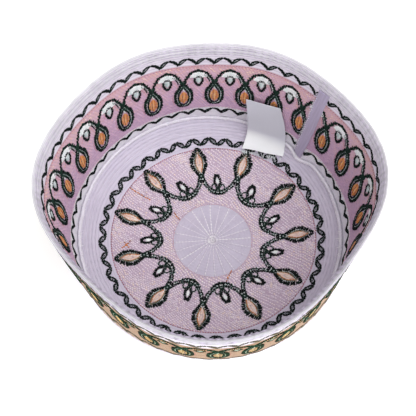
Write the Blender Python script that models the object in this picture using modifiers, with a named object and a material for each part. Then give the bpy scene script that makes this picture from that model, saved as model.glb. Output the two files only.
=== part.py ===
"""A round prayer cap of stiff embroidered cloth, lying on its crown with the opening up.

Units are metres and +Z is up. The origin is on the surface that the cap lies on,
under the middle of the opening. Angles run from +X towards +Y, in degrees in the
tables. The cap itself is drawn round the middle of its crown.
"""

import math
from collections import namedtuple

import bmesh
import bpy
from mathutils import Vector

MM = 0.001

# Driving sizes of the cap
CAP_HEIGHT = 98.5 * MM
OPENING_RADIUS = 88.9 * MM
CROWN_RADIUS = 81.9 * MM
SEAM_HEIGHT = 14.8 * MM
REST_RADIUS = 38.0 * MM
CLOTH = 2.0 * MM
CLEARANCE = 0.3 * MM

# How the crown rises from its flat middle to the seam
DISH_POWER = 1.6

# How fast the wall takes the opening's outline as it leaves the crown
OUTLINE_POWER = 3

# The hem is a folded edge, a little thicker than the wall under it
HEM_HEIGHT = 7.0 * MM
HEM_THICKNESS = 3.0 * MM
HEM_INSET = 0.5 * MM
HEM_ROUNDING = 1.0 * MM
HEM_CORNER = 60.0

# The ridge inside, where the wall is sewn to the crown
RIDGE_RADIUS = 1.1 * MM

# The tape over the join of the wall's two ends, which leans a little
TAPE_FOOT_ANGLE = 44.5
TAPE_TOP_ANGLE = 40.5
TAPE_WIDTH = 8.0 * MM
TAPE_THICKNESS = 0.8 * MM
TAPE_CLEARANCE = 0.4 * MM

# The ribbon label bows a little between its edges. Its rows run from the end that
# lies on the crown, over the seam and up the wall. Each row has an angle, an inset
# from the wall and a height for the label's left and right edges
LABEL_THICKNESS = 1.2 * MM
LABEL_BOW = 1.0 * MM
Row = namedtuple("Row", "left left_inset left_height right right_inset right_height")
LABEL_ROWS = (
    Row(72.1, 16.0 * MM, 10.6 * MM, 49.8, 8.0 * MM, 13.0 * MM),
    Row(72.2, 11.5 * MM, 13.4 * MM, 51.2, 5.0 * MM, 15.2 * MM),
    Row(72.1, 8.2 * MM, 18.0 * MM, 52.8, 2.2 * MM, 19.8 * MM),
    Row(72.2, 7.2 * MM, 24.0 * MM, 53.6, 1.9 * MM, 26.0 * MM),
    Row(72.8, 6.2 * MM, 38.0 * MM, 55.2, 2.2 * MM, 38.0 * MM),
    Row(74.2, 5.0 * MM, 54.0 * MM, 57.8, 3.0 * MM, 53.0 * MM),
)

# How finely the shapes are divided
COLUMNS = 96
DISH_RINGS = 6
WALL_ROWS = 7
TAPE_COLUMNS = 4
TAPE_ROWS = 12
LABEL_COLUMNS = 3
SHARP_ANGLE = 40.0

# The two outlines are circles with these waves: how many go round, and how far
# each stands out, as a cosine and as a sine of the angle
Wave = namedtuple("Wave", "count cosine sine")
RIM_WAVES = (
    Wave(1, -1.4 * MM, -2.8 * MM),
    Wave(2, 3.0 * MM, 0.3 * MM),
    Wave(3, -0.4 * MM, 1.7 * MM),
    Wave(4, 2.1 * MM, 0.5 * MM),
    Wave(5, 0.2 * MM, -0.5 * MM),
    Wave(6, 0.8 * MM, 0.3 * MM),
)
SEAM_WAVES = (
    Wave(1, -1.7 * MM, 1.8 * MM),
    Wave(2, 0.9 * MM, -0.5 * MM),
    Wave(3, 0.0 * MM, -0.5 * MM),
)

# Where the seam is puckered: at which angle, over what half width, how far it is
# drawn in, and how far up the wall the pucker fades out
PUCKER_FADE = 2
Pucker = namedtuple("Pucker", "angle half_width depth reach")
PUCKERS = (
    Pucker(43.0, 5.8, 4.2 * MM, 0.45),
    Pucker(56.0, 8.3, 1.7 * MM, 0.30),
)

# Colour and roughness of each sub-part
Finish = namedtuple("Finish", "colour roughness")
FINISHES = {
    "crown": Finish((0.72, 0.58, 0.72), 0.85),
    "side_wall": Finish((0.66, 0.50, 0.66), 0.85),
    "rim_hem": Finish((0.85, 0.84, 0.90), 0.80),
    "crown_seam": Finish((0.80, 0.78, 0.86), 0.80),
    "seam_tape": Finish((0.50, 0.45, 0.60), 0.70),
    "label": Finish((0.88, 0.88, 0.90), 0.55),
}


def stand_out(waves, angle):
    """How far an outline stands out from its circle at this angle."""
    total = 0.0
    for wave in waves:
        total += wave.cosine * math.cos(wave.count * angle)
        total += wave.sine * math.sin(wave.count * angle)
    return total


def pucker(angle, share):
    """How far the wall is drawn in at this angle and height."""
    total = 0.0
    for fold in PUCKERS:
        away = math.remainder(angle - math.radians(fold.angle), math.tau)
        across = math.exp(-((away / math.radians(fold.half_width)) ** 2))
        fade = max(0.0, 1.0 - share / fold.reach) ** PUCKER_FADE
        total += fold.depth * across * fade
    return total


def wall_radius(angle, share):
    """The wall's inside radius, with share 0 at the crown seam and 1 at the rim."""
    mean = CROWN_RADIUS + (OPENING_RADIUS - CROWN_RADIUS) * share
    rim_part = 1.0 - (1.0 - share) ** OUTLINE_POWER
    waves = rim_part * stand_out(RIM_WAVES, angle)
    waves += (1.0 - rim_part) * stand_out(SEAM_WAVES, angle)
    return mean + waves - pucker(angle, share)


def crown_height(angle, radius):
    """The height of the crown's upper face."""
    edge = wall_radius(angle, 0.0)
    share = min(1.0, max(0.0, (radius - REST_RADIUS) / (edge - REST_RADIUS)))
    return CLOTH + (SEAM_HEIGHT - CLOTH) * share**DISH_POWER


def share_at(height):
    """How far up the wall a height is, from 0 at the seam to 1 at the rim."""
    return (height - SEAM_HEIGHT) / (CAP_HEIGHT - SEAM_HEIGHT)


def wall_heights():
    """The heights of the wall's rows: its lowest strip stands upright."""
    foot = SEAM_HEIGHT + CLEARANCE
    top = CAP_HEIGHT - HEM_HEIGHT - 2 * CLEARANCE
    return [foot] + evenly(foot + CLOTH, top, WALL_ROWS)


def row_radius(angle, height):
    """The wall's inside radius at one of its rows."""
    upright = wall_heights()[1]
    return wall_radius(angle, share_at(height) if height > upright else 0.0)


def wall_face(angle, height):
    """The wall's inside radius between its rows, where it is straight."""
    rows = wall_heights()
    above = next((row for row in rows[1:] if row >= height), rows[-1])
    below = rows[rows.index(above) - 1]
    share = (height - below) / (above - below)
    start = row_radius(angle, below)
    return start + (row_radius(angle, above) - start) * share


def polar(angle, radius, height):
    return Vector((radius * math.cos(angle), radius * math.sin(angle), height))


def opening_centre():
    """The middle of the hem's outer box, seen from above."""
    outer = [
        polar(angle, wall_radius(angle, 1.0) + HEM_THICKNESS - HEM_INSET, 0.0)
        for angle in column_angles()
    ]
    xs = [point.x for point in outer]
    ys = [point.y for point in outer]
    return Vector(((min(xs) + max(xs)) / 2, (min(ys) + max(ys)) / 2, 0.0))


def column_angles():
    return [math.tau * column / COLUMNS for column in range(COLUMNS)]


def evenly(start, end, steps):
    return [start + (end - start) * step / steps for step in range(steps + 1)]


def finish(name):
    material = bpy.data.materials.new(name)
    material.use_nodes = True
    shader = material.node_tree.nodes["Principled BSDF"]
    shader.inputs["Base Color"].default_value = (*FINISHES[name].colour, 1.0)
    shader.inputs["Roughness"].default_value = FINISHES[name].roughness
    shader.inputs["Metallic"].default_value = 0.0
    return material


def place(obj, name, collection, cap):
    """Names the object, hangs it on the cap and gives it its material."""
    obj.name = name
    obj.data.name = name
    obj.data.materials.append(finish(name))
    obj.parent = cap
    collection.objects.link(obj)
    return obj


def face_up(form):
    """Turns an open sheet over if its faces look down."""
    if sum(face.normal.z * face.calc_area() for face in form.faces) < 0:
        bmesh.ops.reverse_faces(form, faces=form.faces)


def next_ring(form, ring, radius_at, height_at):
    """Extrudes a closed ring of edges and moves the new one to its place."""
    made = bmesh.ops.extrude_edge_only(form, edges=ring)["geom"]
    for vertex in made:
        if isinstance(vertex, bmesh.types.BMVert):
            angle = math.atan2(vertex.co.y, vertex.co.x)
            vertex.co = polar(angle, radius_at(angle), height_at(angle))
    edges = {edge for edge in made if isinstance(edge, bmesh.types.BMEdge)}
    return [edge for edge in edges if len(edge.link_faces) == 1]


def first_ring(form, radius_at, height_at, filled=False):
    bmesh.ops.create_circle(form, cap_ends=filled, segments=COLUMNS, radius=1.0)
    for vertex in form.verts:
        angle = math.atan2(vertex.co.y, vertex.co.x)
        vertex.co = polar(angle, radius_at(angle), height_at(angle))
    return list(form.edges)


def thicken(obj, thickness, offset):
    """Gives an open sheet its thickness: offset 1 outwards, -1 inwards, 0 both."""
    shell = obj.modifiers.new("thickness", "SOLIDIFY")
    shell.thickness = thickness
    shell.offset = offset
    shell.use_even_offset = True
    return shell


def place_sheet(form, name, collection, cap):
    """Makes the finished sheet an object on the cap, shaded smooth."""
    mesh = bpy.data.meshes.new(name)
    form.to_mesh(mesh)
    form.free()
    mesh.shade_smooth()
    mesh.set_sharp_from_angle(angle=math.radians(SHARP_ANGLE))
    return place(bpy.data.objects.new(name, mesh), name, collection, cap)


def dish_radius(angle, share):
    """A ring of the crown's border, with share 0 at its flat middle and 1 at the seam."""
    return REST_RADIUS + (wall_radius(angle, 0.0) - REST_RADIUS) * share


def make_crown(collection, cap):
    """A flat middle with a dished border, and a level lip that the wall stands on."""
    form = bmesh.new()
    ring = first_ring(form, lambda angle: REST_RADIUS - CLOTH, lambda angle: CLOTH, True)
    for share in evenly(0.0, 1.0, DISH_RINGS):
        ring = next_ring(
            form,
            ring,
            lambda angle, share=share: dish_radius(angle, share),
            lambda angle, share=share: crown_height(angle, dish_radius(angle, share)),
        )
    next_ring(
        form,
        ring,
        lambda angle: wall_radius(angle, 0.0) + CLOTH,
        lambda angle: SEAM_HEIGHT,
    )
    face_up(form)
    crown = place_sheet(form, "crown", collection, cap)
    thicken(crown, CLOTH, -1.0)


def loop_sheet(heights, radius_at):
    """An upright closed band through these heights, its faces pointing outwards."""
    form = bmesh.new()
    ring = first_ring(
        form,
        lambda angle: radius_at(angle, heights[0]),
        lambda angle: heights[0],
    )
    for height in heights[1:]:
        ring = next_ring(
            form,
            ring,
            lambda angle, height=height: radius_at(angle, height),
            lambda angle, height=height: height,
        )
    face = next(iter(form.faces))
    middle = face.calc_center_median()
    if face.normal.dot(Vector((middle.x, middle.y, 0.0))) < 0:
        bmesh.ops.reverse_faces(form, faces=form.faces)
    return form


def make_side_wall(collection, cap):
    """The wall, which stands on the crown's lip."""
    form = loop_sheet(wall_heights(), row_radius)
    wall = place_sheet(form, "side_wall", collection, cap)
    thicken(wall, CLOTH, 1.0)


def make_rim_hem(collection, cap):
    """The folded edge, which stands on the wall and is rounded all along."""
    low = CAP_HEIGHT - HEM_HEIGHT
    form = loop_sheet(
        [low, CAP_HEIGHT],
        lambda angle, height: wall_radius(angle, share_at(height)) - HEM_INSET,
    )
    hem = place_sheet(form, "rim_hem", collection, cap)
    thicken(hem, HEM_THICKNESS, 1.0)
    rounding = hem.modifiers.new("rounding", "BEVEL")
    rounding.width = HEM_ROUNDING
    rounding.segments = 2
    rounding.limit_method = "ANGLE"
    rounding.angle_limit = math.radians(HEM_CORNER)


def make_crown_seam(collection, cap):
    """A closed tube in the corner between the crown and the wall."""
    inset = RIDGE_RADIUS + CLEARANCE
    curve = bpy.data.curves.new("crown_seam", "CURVE")
    curve.dimensions = "3D"
    curve.bevel_depth = RIDGE_RADIUS
    curve.bevel_resolution = 1
    spline = curve.splines.new("POLY")
    spline.points.add(COLUMNS - 1)
    spline.use_cyclic_u = True
    for angle, point in zip(column_angles(), spline.points):
        radius = wall_radius(angle, 0.0) - inset
        height = SEAM_HEIGHT + RIDGE_RADIUS
        point.co = (*polar(angle, radius, height), 1.0)
    place(bpy.data.objects.new("crown_seam", curve), "crown_seam", collection, cap)


def grid_sheet(columns, rows, point_at):
    """A sheet whose points are placed by how far across and along it they are."""
    form = bmesh.new()
    bmesh.ops.create_grid(form, x_segments=columns, y_segments=rows, size=0.5)
    for vertex in form.verts:
        vertex.co = point_at(vertex.co.x + 0.5, vertex.co.y + 0.5)
    return form


def face_towards(obj, direction):
    """Turns a sheet over if its faces look away from this direction."""
    mesh = obj.data
    if sum(face.normal.dot(direction) * face.area for face in mesh.polygons) < 0:
        mesh.flip_normals()


def tape_point(across, along):
    """A point of the tape's inner face, with along 0 at its foot."""
    low = SEAM_HEIGHT + 2 * RIDGE_RADIUS + 2 * CLEARANCE
    high = CAP_HEIGHT - HEM_HEIGHT - CLEARANCE
    height = low + along * (high - low)
    middle = TAPE_FOOT_ANGLE + (TAPE_TOP_ANGLE - TAPE_FOOT_ANGLE) * along
    angle = math.radians(middle) + (across - 0.5) * TAPE_WIDTH / wall_face(0.0, height)
    inset = TAPE_CLEARANCE + TAPE_THICKNESS
    return polar(angle, wall_face(angle, height) - inset, height)


def make_seam_tape(collection, cap):
    """A plain strip that follows the wall from the seam's ridge to the hem."""
    form = grid_sheet(TAPE_COLUMNS, TAPE_ROWS, tape_point)
    tape = place_sheet(form, "seam_tape", collection, cap)
    face_towards(tape, polar(math.radians(TAPE_FOOT_ANGLE), 1.0, 0.0))
    thicken(tape, TAPE_THICKNESS, 1.0)


def label_point(across, along):
    """A point of the label's front face, with along 0 at the end on the crown."""
    row = LABEL_ROWS[round(along * (len(LABEL_ROWS) - 1))]
    degrees = row.left + (row.right - row.left) * across
    height = row.left_height + (row.right_height - row.left_height) * across
    inset = row.left_inset + (row.right_inset - row.left_inset) * across
    inset += LABEL_BOW * math.sin(math.pi * across)
    angle = math.radians(degrees)
    wall = wall_face(angle, max(height, wall_heights()[0]))
    return polar(angle, wall - inset, height)


def make_label(collection, cap):
    """A ribbon that lies on the crown's edge, bends up and leans on the wall."""
    form = grid_sheet(LABEL_COLUMNS, len(LABEL_ROWS) - 1, label_point)
    label = place_sheet(form, "label", collection, cap)
    face_towards(label, polar(math.radians(LABEL_ROWS[-1].left), -1.0, 0.0))
    smooth = label.modifiers.new("smooth", "SUBSURF")
    smooth.levels = 1
    smooth.render_levels = 1
    smooth.boundary_smooth = "PRESERVE_CORNERS"
    thicken(label, LABEL_THICKNESS, -1.0)


def main():
    for obj in list(bpy.data.objects):
        bpy.data.objects.remove(obj)
    collection = bpy.data.collections.new("prayer_cap")
    bpy.context.scene.collection.children.link(collection)
    cap = bpy.data.objects.new("cap_origin", None)
    cap.location = -opening_centre()
    collection.objects.link(cap)
    make_crown(collection, cap)
    make_side_wall(collection, cap)
    make_rim_hem(collection, cap)
    make_crown_seam(collection, cap)
    make_seam_tape(collection, cap)
    make_label(collection, cap)


if __name__ == "__main__":
    main()
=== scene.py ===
"""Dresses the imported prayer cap: stiff quilted cloth, embroidered inside and out."""

import math
from collections import namedtuple

import bmesh
import bpy
import numpy as np
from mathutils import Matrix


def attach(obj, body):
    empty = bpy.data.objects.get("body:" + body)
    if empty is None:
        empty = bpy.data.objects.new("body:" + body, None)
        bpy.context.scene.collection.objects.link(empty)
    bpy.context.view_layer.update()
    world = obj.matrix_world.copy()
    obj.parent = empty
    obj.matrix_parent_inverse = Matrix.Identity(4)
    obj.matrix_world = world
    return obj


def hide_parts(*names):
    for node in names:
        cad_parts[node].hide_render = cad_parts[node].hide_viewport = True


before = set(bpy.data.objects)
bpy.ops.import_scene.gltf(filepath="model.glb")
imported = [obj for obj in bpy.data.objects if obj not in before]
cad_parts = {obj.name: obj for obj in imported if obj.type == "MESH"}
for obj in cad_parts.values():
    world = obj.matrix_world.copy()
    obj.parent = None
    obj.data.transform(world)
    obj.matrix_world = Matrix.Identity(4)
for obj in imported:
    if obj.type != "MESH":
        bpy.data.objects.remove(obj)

bl_info = {
    "name": "Embroidered prayer cap",
    "version": (1, 0, 0),
    "blender": (4, 5, 0),
    "location": "3D View > Sidebar > Cap",
    "description": "Makes the cloth and the embroidery of a round prayer cap",
    "category": "Add Mesh",
}

MM = 0.001

# The cap's own shape, as its solids have it
CAP_HEIGHT = 98.5 * MM
OPENING_RADIUS = 88.9 * MM
CROWN_RADIUS = 81.9 * MM
SEAM_HEIGHT = 14.8 * MM
WALL_HEIGHT = CAP_HEIGHT - SEAM_HEIGHT
REST_RADIUS = 38.0 * MM
CLOTH = 2.0 * MM
DISH_POWER = 1.6
OUTLINE_POWER = 3
HEM_HEIGHT = 7.0 * MM
HEM_THICKNESS = 3.0 * MM
HEM_INSET = 0.5 * MM
HEM_TAPER = 2.3 * MM
RIDGE_RADIUS = 1.1 * MM
RIDGE_INSET = 1.4 * MM
SOLID_COLUMNS = 96

Wave = namedtuple("Wave", "count cosine sine")
RIM_WAVES = (
    Wave(1, -1.4 * MM, -2.8 * MM),
    Wave(2, 3.0 * MM, 0.3 * MM),
    Wave(3, -0.4 * MM, 1.7 * MM),
    Wave(4, 2.1 * MM, 0.5 * MM),
    Wave(5, 0.2 * MM, -0.5 * MM),
    Wave(6, 0.8 * MM, 0.3 * MM),
)
SEAM_WAVES = (
    Wave(1, -1.7 * MM, 1.8 * MM),
    Wave(2, 0.9 * MM, -0.5 * MM),
    Wave(3, 0.0 * MM, -0.5 * MM),
)

# Where the seam is puckered: at which angle, over what half width, how far it is
# drawn in, and how far up the wall the pucker fades out
Pucker = namedtuple("Pucker", "angle half_width depth reach")
PUCKERS = (
    Pucker(43.0, 5.2, 4.4 * MM, 0.45),
    Pucker(56.0, 8.3, 1.7 * MM, 0.30),
)
PUCKER_FADE = 2

# The tape leans a little
TAPE_FOOT_ANGLE = 44.5
TAPE_TOP_ANGLE = 40.5
TAPE_WIDTH = 8.0 * MM
TAPE_THICKNESS = 0.6 * MM
TAPE_LIFT = 0.45 * MM

# The label's rows run from the end that lies on the crown, over the seam and up the
# wall, each with an angle, an inset from the wall and a height for its two edges
LABEL_THICKNESS = 0.5 * MM
LABEL_BOW = 1.0 * MM
Row = namedtuple("Row", "left left_inset left_height right right_inset right_height")
LABEL_ROWS = (
    Row(72.5, 17.6 * MM, 10.2 * MM, 49.8, 8.4 * MM, 12.8 * MM),
    Row(72.2, 11.5 * MM, 13.4 * MM, 51.2, 5.0 * MM, 15.2 * MM),
    Row(72.1, 8.2 * MM, 18.0 * MM, 52.8, 2.2 * MM, 19.8 * MM),
    Row(72.2, 7.2 * MM, 24.0 * MM, 53.6, 1.9 * MM, 26.0 * MM),
    Row(72.8, 6.2 * MM, 38.0 * MM, 55.2, 2.2 * MM, 38.0 * MM),
    Row(74.2, 5.0 * MM, 54.0 * MM, 57.8, 3.0 * MM, 53.0 * MM),
)

# The crown's rings: a lavender middle, a rose border round the ridged zone, and a
# plaited line outside it, each a circle with a few waves
MEDALLION_RADIUS = 25.0 * MM
ROSE_RADIUS = 64.0 * MM
ROSE_WAVES = (Wave(1, 0.5 * MM, 0.15 * MM), Wave(2, 0.875 * MM, 0.0))
PLAIT_RADIUS = 68.2 * MM
PLAIT_WAVES = (
    Wave(1, -0.35 * MM, 0.18 * MM),
    Wave(2, 0.72 * MM, -0.4 * MM),
    Wave(4, 0.15 * MM, 0.0),
)

# The crown's leaves: at which angle each one points outwards, and how far its middle
# is from the crown's
LEAVES = (
    (99.5, 54.0), (133.7, 54.4), (164.6, 54.4), (193.4, 53.0), (228.3, 51.1),
    (261.9, 51.7), (298.0, 50.9), (331.4, 52.3), (362.7, 53.9), (393.5, 54.1),
    (429.1, 54.5),
)

# The distance at which a leaf's middle is drawn, and the ring on which lengths round
# the crown are measured, in millimetres
LEAF_RADIUS = 53.4
VINE_REFERENCE = 50.0

# Heights over the seam where the wall's band starts and ends, inside and outside
BAND_FOOT = 17.8
BAND_TOP = 66.4
SATIN_FOOT = 3.0
SATIN_TOP = 64.0

# The angle of the wall's first leaf, and how many millimetres further along the
# outside's leaves are
WALL_FIRST_LEAF = 89.36
OUTSIDE_SHIFT = 6.0

# Only behind the crown does the wall's drawing lie as high as it is drawn. Elsewhere
# it sinks, by these millimetres at these heights
SINK_HEIGHTS = (0.0, 17.8, 24.0, 42.0, 60.0)
SINKING = (0.0, 5.5, 2.6, 2.2, 0.0)
SINK_FREE_ANGLE = 88.0
SINK_FREE_WIDTH = 18.0

# On the left the wall's drawing has drifted along the wall
DRIFT = 1.9 * MM
DRIFT_ANGLE = 148.0
DRIFT_WIDTH = 28.0

# Outside the wall the leaves lie higher, under flatter arches
RISE = 8.0 * MM
RISE_START = 20.0 * MM
RISE_FADE = 17.0 * MM
RISE_END = 62.0 * MM

# How finely the cloth is divided round the cap and up the wall, and across the crown
# from its small middle hole
CLOTH_COLUMNS = 288
WALL_LEVELS = 40
CROWN_RINGS = 44
CROWN_HOLE = 1.5 * MM

# The middle of the crown rises a little between its stitched lines, fading in from
# the knot and out towards the ridged zone
WEDGE_HEIGHT = 0.35 * MM
WEDGE_ROUNDNESS = 0.7
WEDGE_FADE_IN = 8.0 * MM
WEDGE_FADE_OUT = 3.0 * MM

# How far from the crown's middle its zones start to bend with the rose ring, and over
# which distance they come to do so in full
BEND_START = 40.0 * MM
BEND_WIDTH = 20.0 * MM

# The hem's rounding and its small ripples, and the ridge's
HEM_ROUNDING = 0.9 * MM
HEM_RIPPLE = 0.12 * MM
RIDGE_RIPPLE = 0.1 * MM
RIDGE_SIDES = 10

# On the left, the ridge's ends overlap in a small step
STEP_ANGLE = 172.0
STEP_WIDTH = 2.5
STEP_HEIGHT = 0.5 * MM

# The gaps that the wall's cloth and the tape leave under and over them, and how the
# tape is rolled and wavy
WALL_FOOT_GAP = 0.3 * MM
WALL_TOP_GAP = 0.6 * MM
TAPE_FOOT_GAP = 0.6 * MM
TAPE_TOP_GAP = 0.3 * MM
TAPE_ROLL = 0.25 * MM
TAPE_SWELL = 0.15 * MM

# The size of the label's map
LABEL_MAP = (0.028, 0.05)

# The quilted rows' spacing on the crown, the wall and the hem
CROWN_QUILTING = 1.9 * MM
WALL_QUILTING = 2.5 * MM
HEM_QUILTING = 2.4 * MM

# How deep the bumps of the quilting, the weave, the cloth and the thread are
QUILTING_DEPTH = 0.2 * MM
WEAVE_DEPTH = 0.12 * MM
CLOTH_DEPTH = 0.5 * MM
GRAIN_DEPTH = 0.3 * MM
THREAD_DEPTH = 0.08 * MM

# How blurred the borders of the crown's and the wall's zones are
CROWN_BLUR = 0.4 * MM
WALL_BLUR = 0.006

# The camera's place and sensor, and the floor
CAMERA_PLACE = (-0.00134, -0.22065, 0.55941)
SENSOR_WIDTH = 36.0
CLIP_START = 0.01
FLOOR_SIZE = 24.0
FLOOR_GLOW = 0.22

# The lights, each turned from +X and raised over the floor
Lamp = namedtuple("Lamp", "name turn rise size")
LAMPS = (
    Lamp("front", -70.0, 50.0, 1.6),
    Lamp("low", -90.0, 22.0, 1.2),
    Lamp("high", 0.0, 70.0, 1.0),
)
LAMP_DISTANCE = 1.3


def linear(red, green, blue):
    """A screen colour from 0 to 255 as the colour that the shaders take."""
    channels = []
    for value in (red, green, blue):
        share = value / 255
        low = share / 12.92
        high = ((share + 0.055) / 1.055) ** 2.4
        channels.append(low if share <= 0.04045 else high)
    return (*channels, 1.0)


def grey(value):
    return (value, value, value, 1.0)


WHITE = grey(1.0)


# Settings
def count_setting(name, description, default, low, high):
    return bpy.props.IntProperty(
        name=name, description=description, default=default, min=low, max=high,
        subtype="UNSIGNED",
    )


def pitch_setting(name, description, default, low, high=4.0):
    return bpy.props.FloatProperty(
        name=name, description=description, default=default * MM, min=low * MM,
        max=high * MM, unit="LENGTH",
    )


def colour_setting(name, description, red, green, blue):
    return bpy.props.FloatVectorProperty(
        name=name, description=description, default=linear(red, green, blue),
        subtype="COLOR", size=4, min=0.0, max=1.0,
    )


def light_setting(name, description, default):
    return bpy.props.FloatProperty(
        name=name, description=description, default=default, min=0.0, unit="POWER"
    )


class CapSizes(bpy.types.PropertyGroup):
    """How the cap is stitched."""

    wall_units: count_setting("Vine units", "How many leaves go round the wall", 28, 8, 60)
    scallops: count_setting(
        "Scallops", "How many scallops each border of the wall has", 51, 12, 120
    )
    plait_waves: count_setting(
        "Plait waves", "How many waves the plaited line of the crown has", 39, 12, 90
    )
    medallion_lines: count_setting(
        "Middle lines", "How many stitched lines cross the crown's middle", 24, 6, 48
    )
    ridge_pitch: pitch_setting(
        "Ridge pitch", "How far apart the ridges of the crown's zone are", 1.5, 0.6
    )
    band_pitch: pitch_setting(
        "Band pitch", "How far apart the rows of the wall's band are", 1.35, 0.8
    )


class CapColours(bpy.types.PropertyGroup):
    """The colours of the cloth."""

    lavender: colour_setting("Lavender", "The ground of the crown", 211, 204, 221)
    pale: colour_setting("Pale lavender", "The wall under its band", 250, 249, 255)
    brim: colour_setting("Brim lavender", "The wall over its band", 238, 231, 244)
    mauve: colour_setting("Mauve", "The band inside the wall", 202, 164, 197)
    rose: colour_setting("Rose", "The warmer patches of the band", 214, 172, 184)
    ridge_ground: colour_setting(
        "Ridge ground", "The gaps between the crown's ridges", 205, 184, 203
    )
    satin: colour_setting("Satin", "The band outside the wall", 166, 122, 77)
    hem: colour_setting("Hem", "The folded upper edge", 224, 221, 228)
    piping: colour_setting("Piping", "The ridge of the seam", 244, 240, 250)
    tape: colour_setting("Tape", "The tape over the wall's join", 168, 158, 184)
    label: colour_setting("Label", "The bare ribbon label", 246, 249, 250)


class CapStudio(bpy.types.PropertyGroup):
    """The camera and the light."""

    tilt: bpy.props.FloatProperty(
        name="Camera tilt", description="How far the camera looks away from straight down",
        default=math.radians(24.0), subtype="ANGLE",
    )
    focal_length: bpy.props.FloatProperty(
        name="Focal length", description="The camera's focal length in millimetres",
        default=81.37, min=20.0, unit="CAMERA",
    )
    front_power: light_setting("Front light", "Power of the large light in front", 11.6)
    low_power: light_setting("Low light", "Power of the light on the far wall", 4.5)
    high_power: light_setting("High light", "Power of the light from the upper right", 7.0)
    sky: bpy.props.FloatProperty(
        name="Surroundings", description="Brightness of the white surroundings",
        default=0.6, min=0.0,
    )


# The cap's surfaces
def stand_out(waves, angle):
    total = 0.0
    for wave in waves:
        total = total + wave.cosine * np.cos(wave.count * angle)
        total = total + wave.sine * np.sin(wave.count * angle)
    return total


def bell(angle, middle, width):
    """1 at the middle angle, fading to 0 on both sides over a width, in degrees."""
    away = (np.degrees(angle) - middle + 180.0) % 360.0 - 180.0
    return np.exp(-((away / width) ** 2))


def pucker(angle, share):
    total = 0.0
    for fold in PUCKERS:
        fade = np.maximum(0.0, 1.0 - share / fold.reach) ** PUCKER_FADE
        total = total + fold.depth * bell(angle, fold.angle, fold.half_width) * fade
    return total


def wall_radius(angle, share):
    """The wall's inside radius, with share 0 at the crown seam and 1 at the rim."""
    share = np.clip(share, 0.0, 1.0)
    mean = CROWN_RADIUS + (OPENING_RADIUS - CROWN_RADIUS) * share
    rim_part = 1.0 - (1.0 - share) ** OUTLINE_POWER
    waves = rim_part * stand_out(RIM_WAVES, angle)
    waves = waves + (1.0 - rim_part) * stand_out(SEAM_WAVES, angle)
    return mean + waves - pucker(angle, share)


def crown_height(angle, radius):
    """The height of the crown's upper face."""
    edge = wall_radius(angle, 0.0)
    share = np.clip((radius - REST_RADIUS) / (edge - REST_RADIUS), 0.0, 1.0)
    return CLOTH + (SEAM_HEIGHT - CLOTH) * share**DISH_POWER


def opening_centre():
    """The middle of the hem's outer box, seen from above."""
    angle = np.arange(SOLID_COLUMNS) * math.tau / SOLID_COLUMNS
    radius = wall_radius(angle, 1.0) + HEM_THICKNESS - HEM_INSET
    x = radius * np.cos(angle)
    y = radius * np.sin(angle)
    return (x.min() + x.max()) / 2, (y.min() + y.max()) / 2


CENTRE = opening_centre()


def on_cap(angle, radius, height):
    """Points given round the crown's middle, in the cap's own frame."""
    x = radius * np.cos(angle) - CENTRE[0]
    y = radius * np.sin(angle) - CENTRE[1]
    return np.stack([x, y, np.broadcast_to(height, x.shape)], axis=-1)


def wall_lengths():
    """How far along the wall's middle each angle is, from its first leaf."""
    start = math.radians(WALL_FIRST_LEAF)
    angle = start + np.linspace(0.0, math.tau, 721)
    radius = wall_radius(angle, 0.5)
    x = radius * np.cos(angle)
    y = radius * np.sin(angle)
    steps = np.hypot(np.diff(x), np.diff(y))
    return angle, np.concatenate([[0.0], np.cumsum(steps)])


WALL_ANGLES, WALL_LENGTHS = wall_lengths()
WALL_LENGTH = WALL_LENGTHS[-1]


def wall_angle(across):
    turns = np.floor(across / WALL_LENGTH)
    inside = across - turns * WALL_LENGTH
    return np.interp(inside, WALL_LENGTHS, WALL_ANGLES) + turns * math.tau


def sunk(angle, height):
    """Where a height of the wall's drawing lies at this angle, inside the wall."""
    strength = 1.0 - bell(angle, SINK_FREE_ANGLE, SINK_FREE_WIDTH)
    return height - strength * np.interp(height / MM, SINK_HEIGHTS, SINKING) * MM


def unsunk(angle, height, steps=20):
    """Which height of the wall's drawing lies at this height, inside the wall."""
    drawn = height
    for step in range(steps):
        drawn = drawn + height - sunk(angle, drawn)
    return drawn


def raised(height):
    """Where a height of the wall's drawing lies outside the wall."""
    start = np.clip(height / RISE_START, 0.0, 1.0)
    return height + RISE * start * np.clip((RISE_END - height) / RISE_FADE, 0.0, 1.0)


# A face is where embroidery lies: a function from two lengths to points of the cloth,
# and which way the cloth faces there
Face = namedtuple("Face", "point side")
INSIDE = "inside"
OUTSIDE = "outside"


def wall_face(side):
    proud = CLOTH if side == OUTSIDE else 0.0

    def point(across, height):
        angle = wall_angle(across)
        if side == INSIDE:
            angle = angle + DRIFT / OPENING_RADIUS * bell(angle, DRIFT_ANGLE, DRIFT_WIDTH)
            height = sunk(angle, height)
        else:
            height = raised(height)
        radius = wall_radius(angle, height / WALL_HEIGHT) + proud
        return on_cap(angle, radius, SEAM_HEIGHT + height)

    return Face(point, side)


def hem_face(side):

    def point(across, height):
        angle = wall_angle(across)
        climb = (height - WALL_HEIGHT + HEM_HEIGHT) / HEM_HEIGHT
        proud = HEM_THICKNESS if side == OUTSIDE else HEM_TAPER * np.clip(climb, 0, 1) ** 2
        radius = wall_radius(angle, height / WALL_HEIGHT) - HEM_INSET + proud
        return on_cap(angle, radius, SEAM_HEIGHT + height)

    return Face(point, side)


def seam_face():
    """The top of the seam's ridge."""

    def point(across, outwards):
        angle = across / CROWN_RADIUS
        radius = wall_radius(angle, 0.0) - RIDGE_INSET + outwards
        return on_cap(angle, radius, SEAM_HEIGHT + 2 * RIDGE_RADIUS)

    return Face(point, INSIDE)


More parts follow.
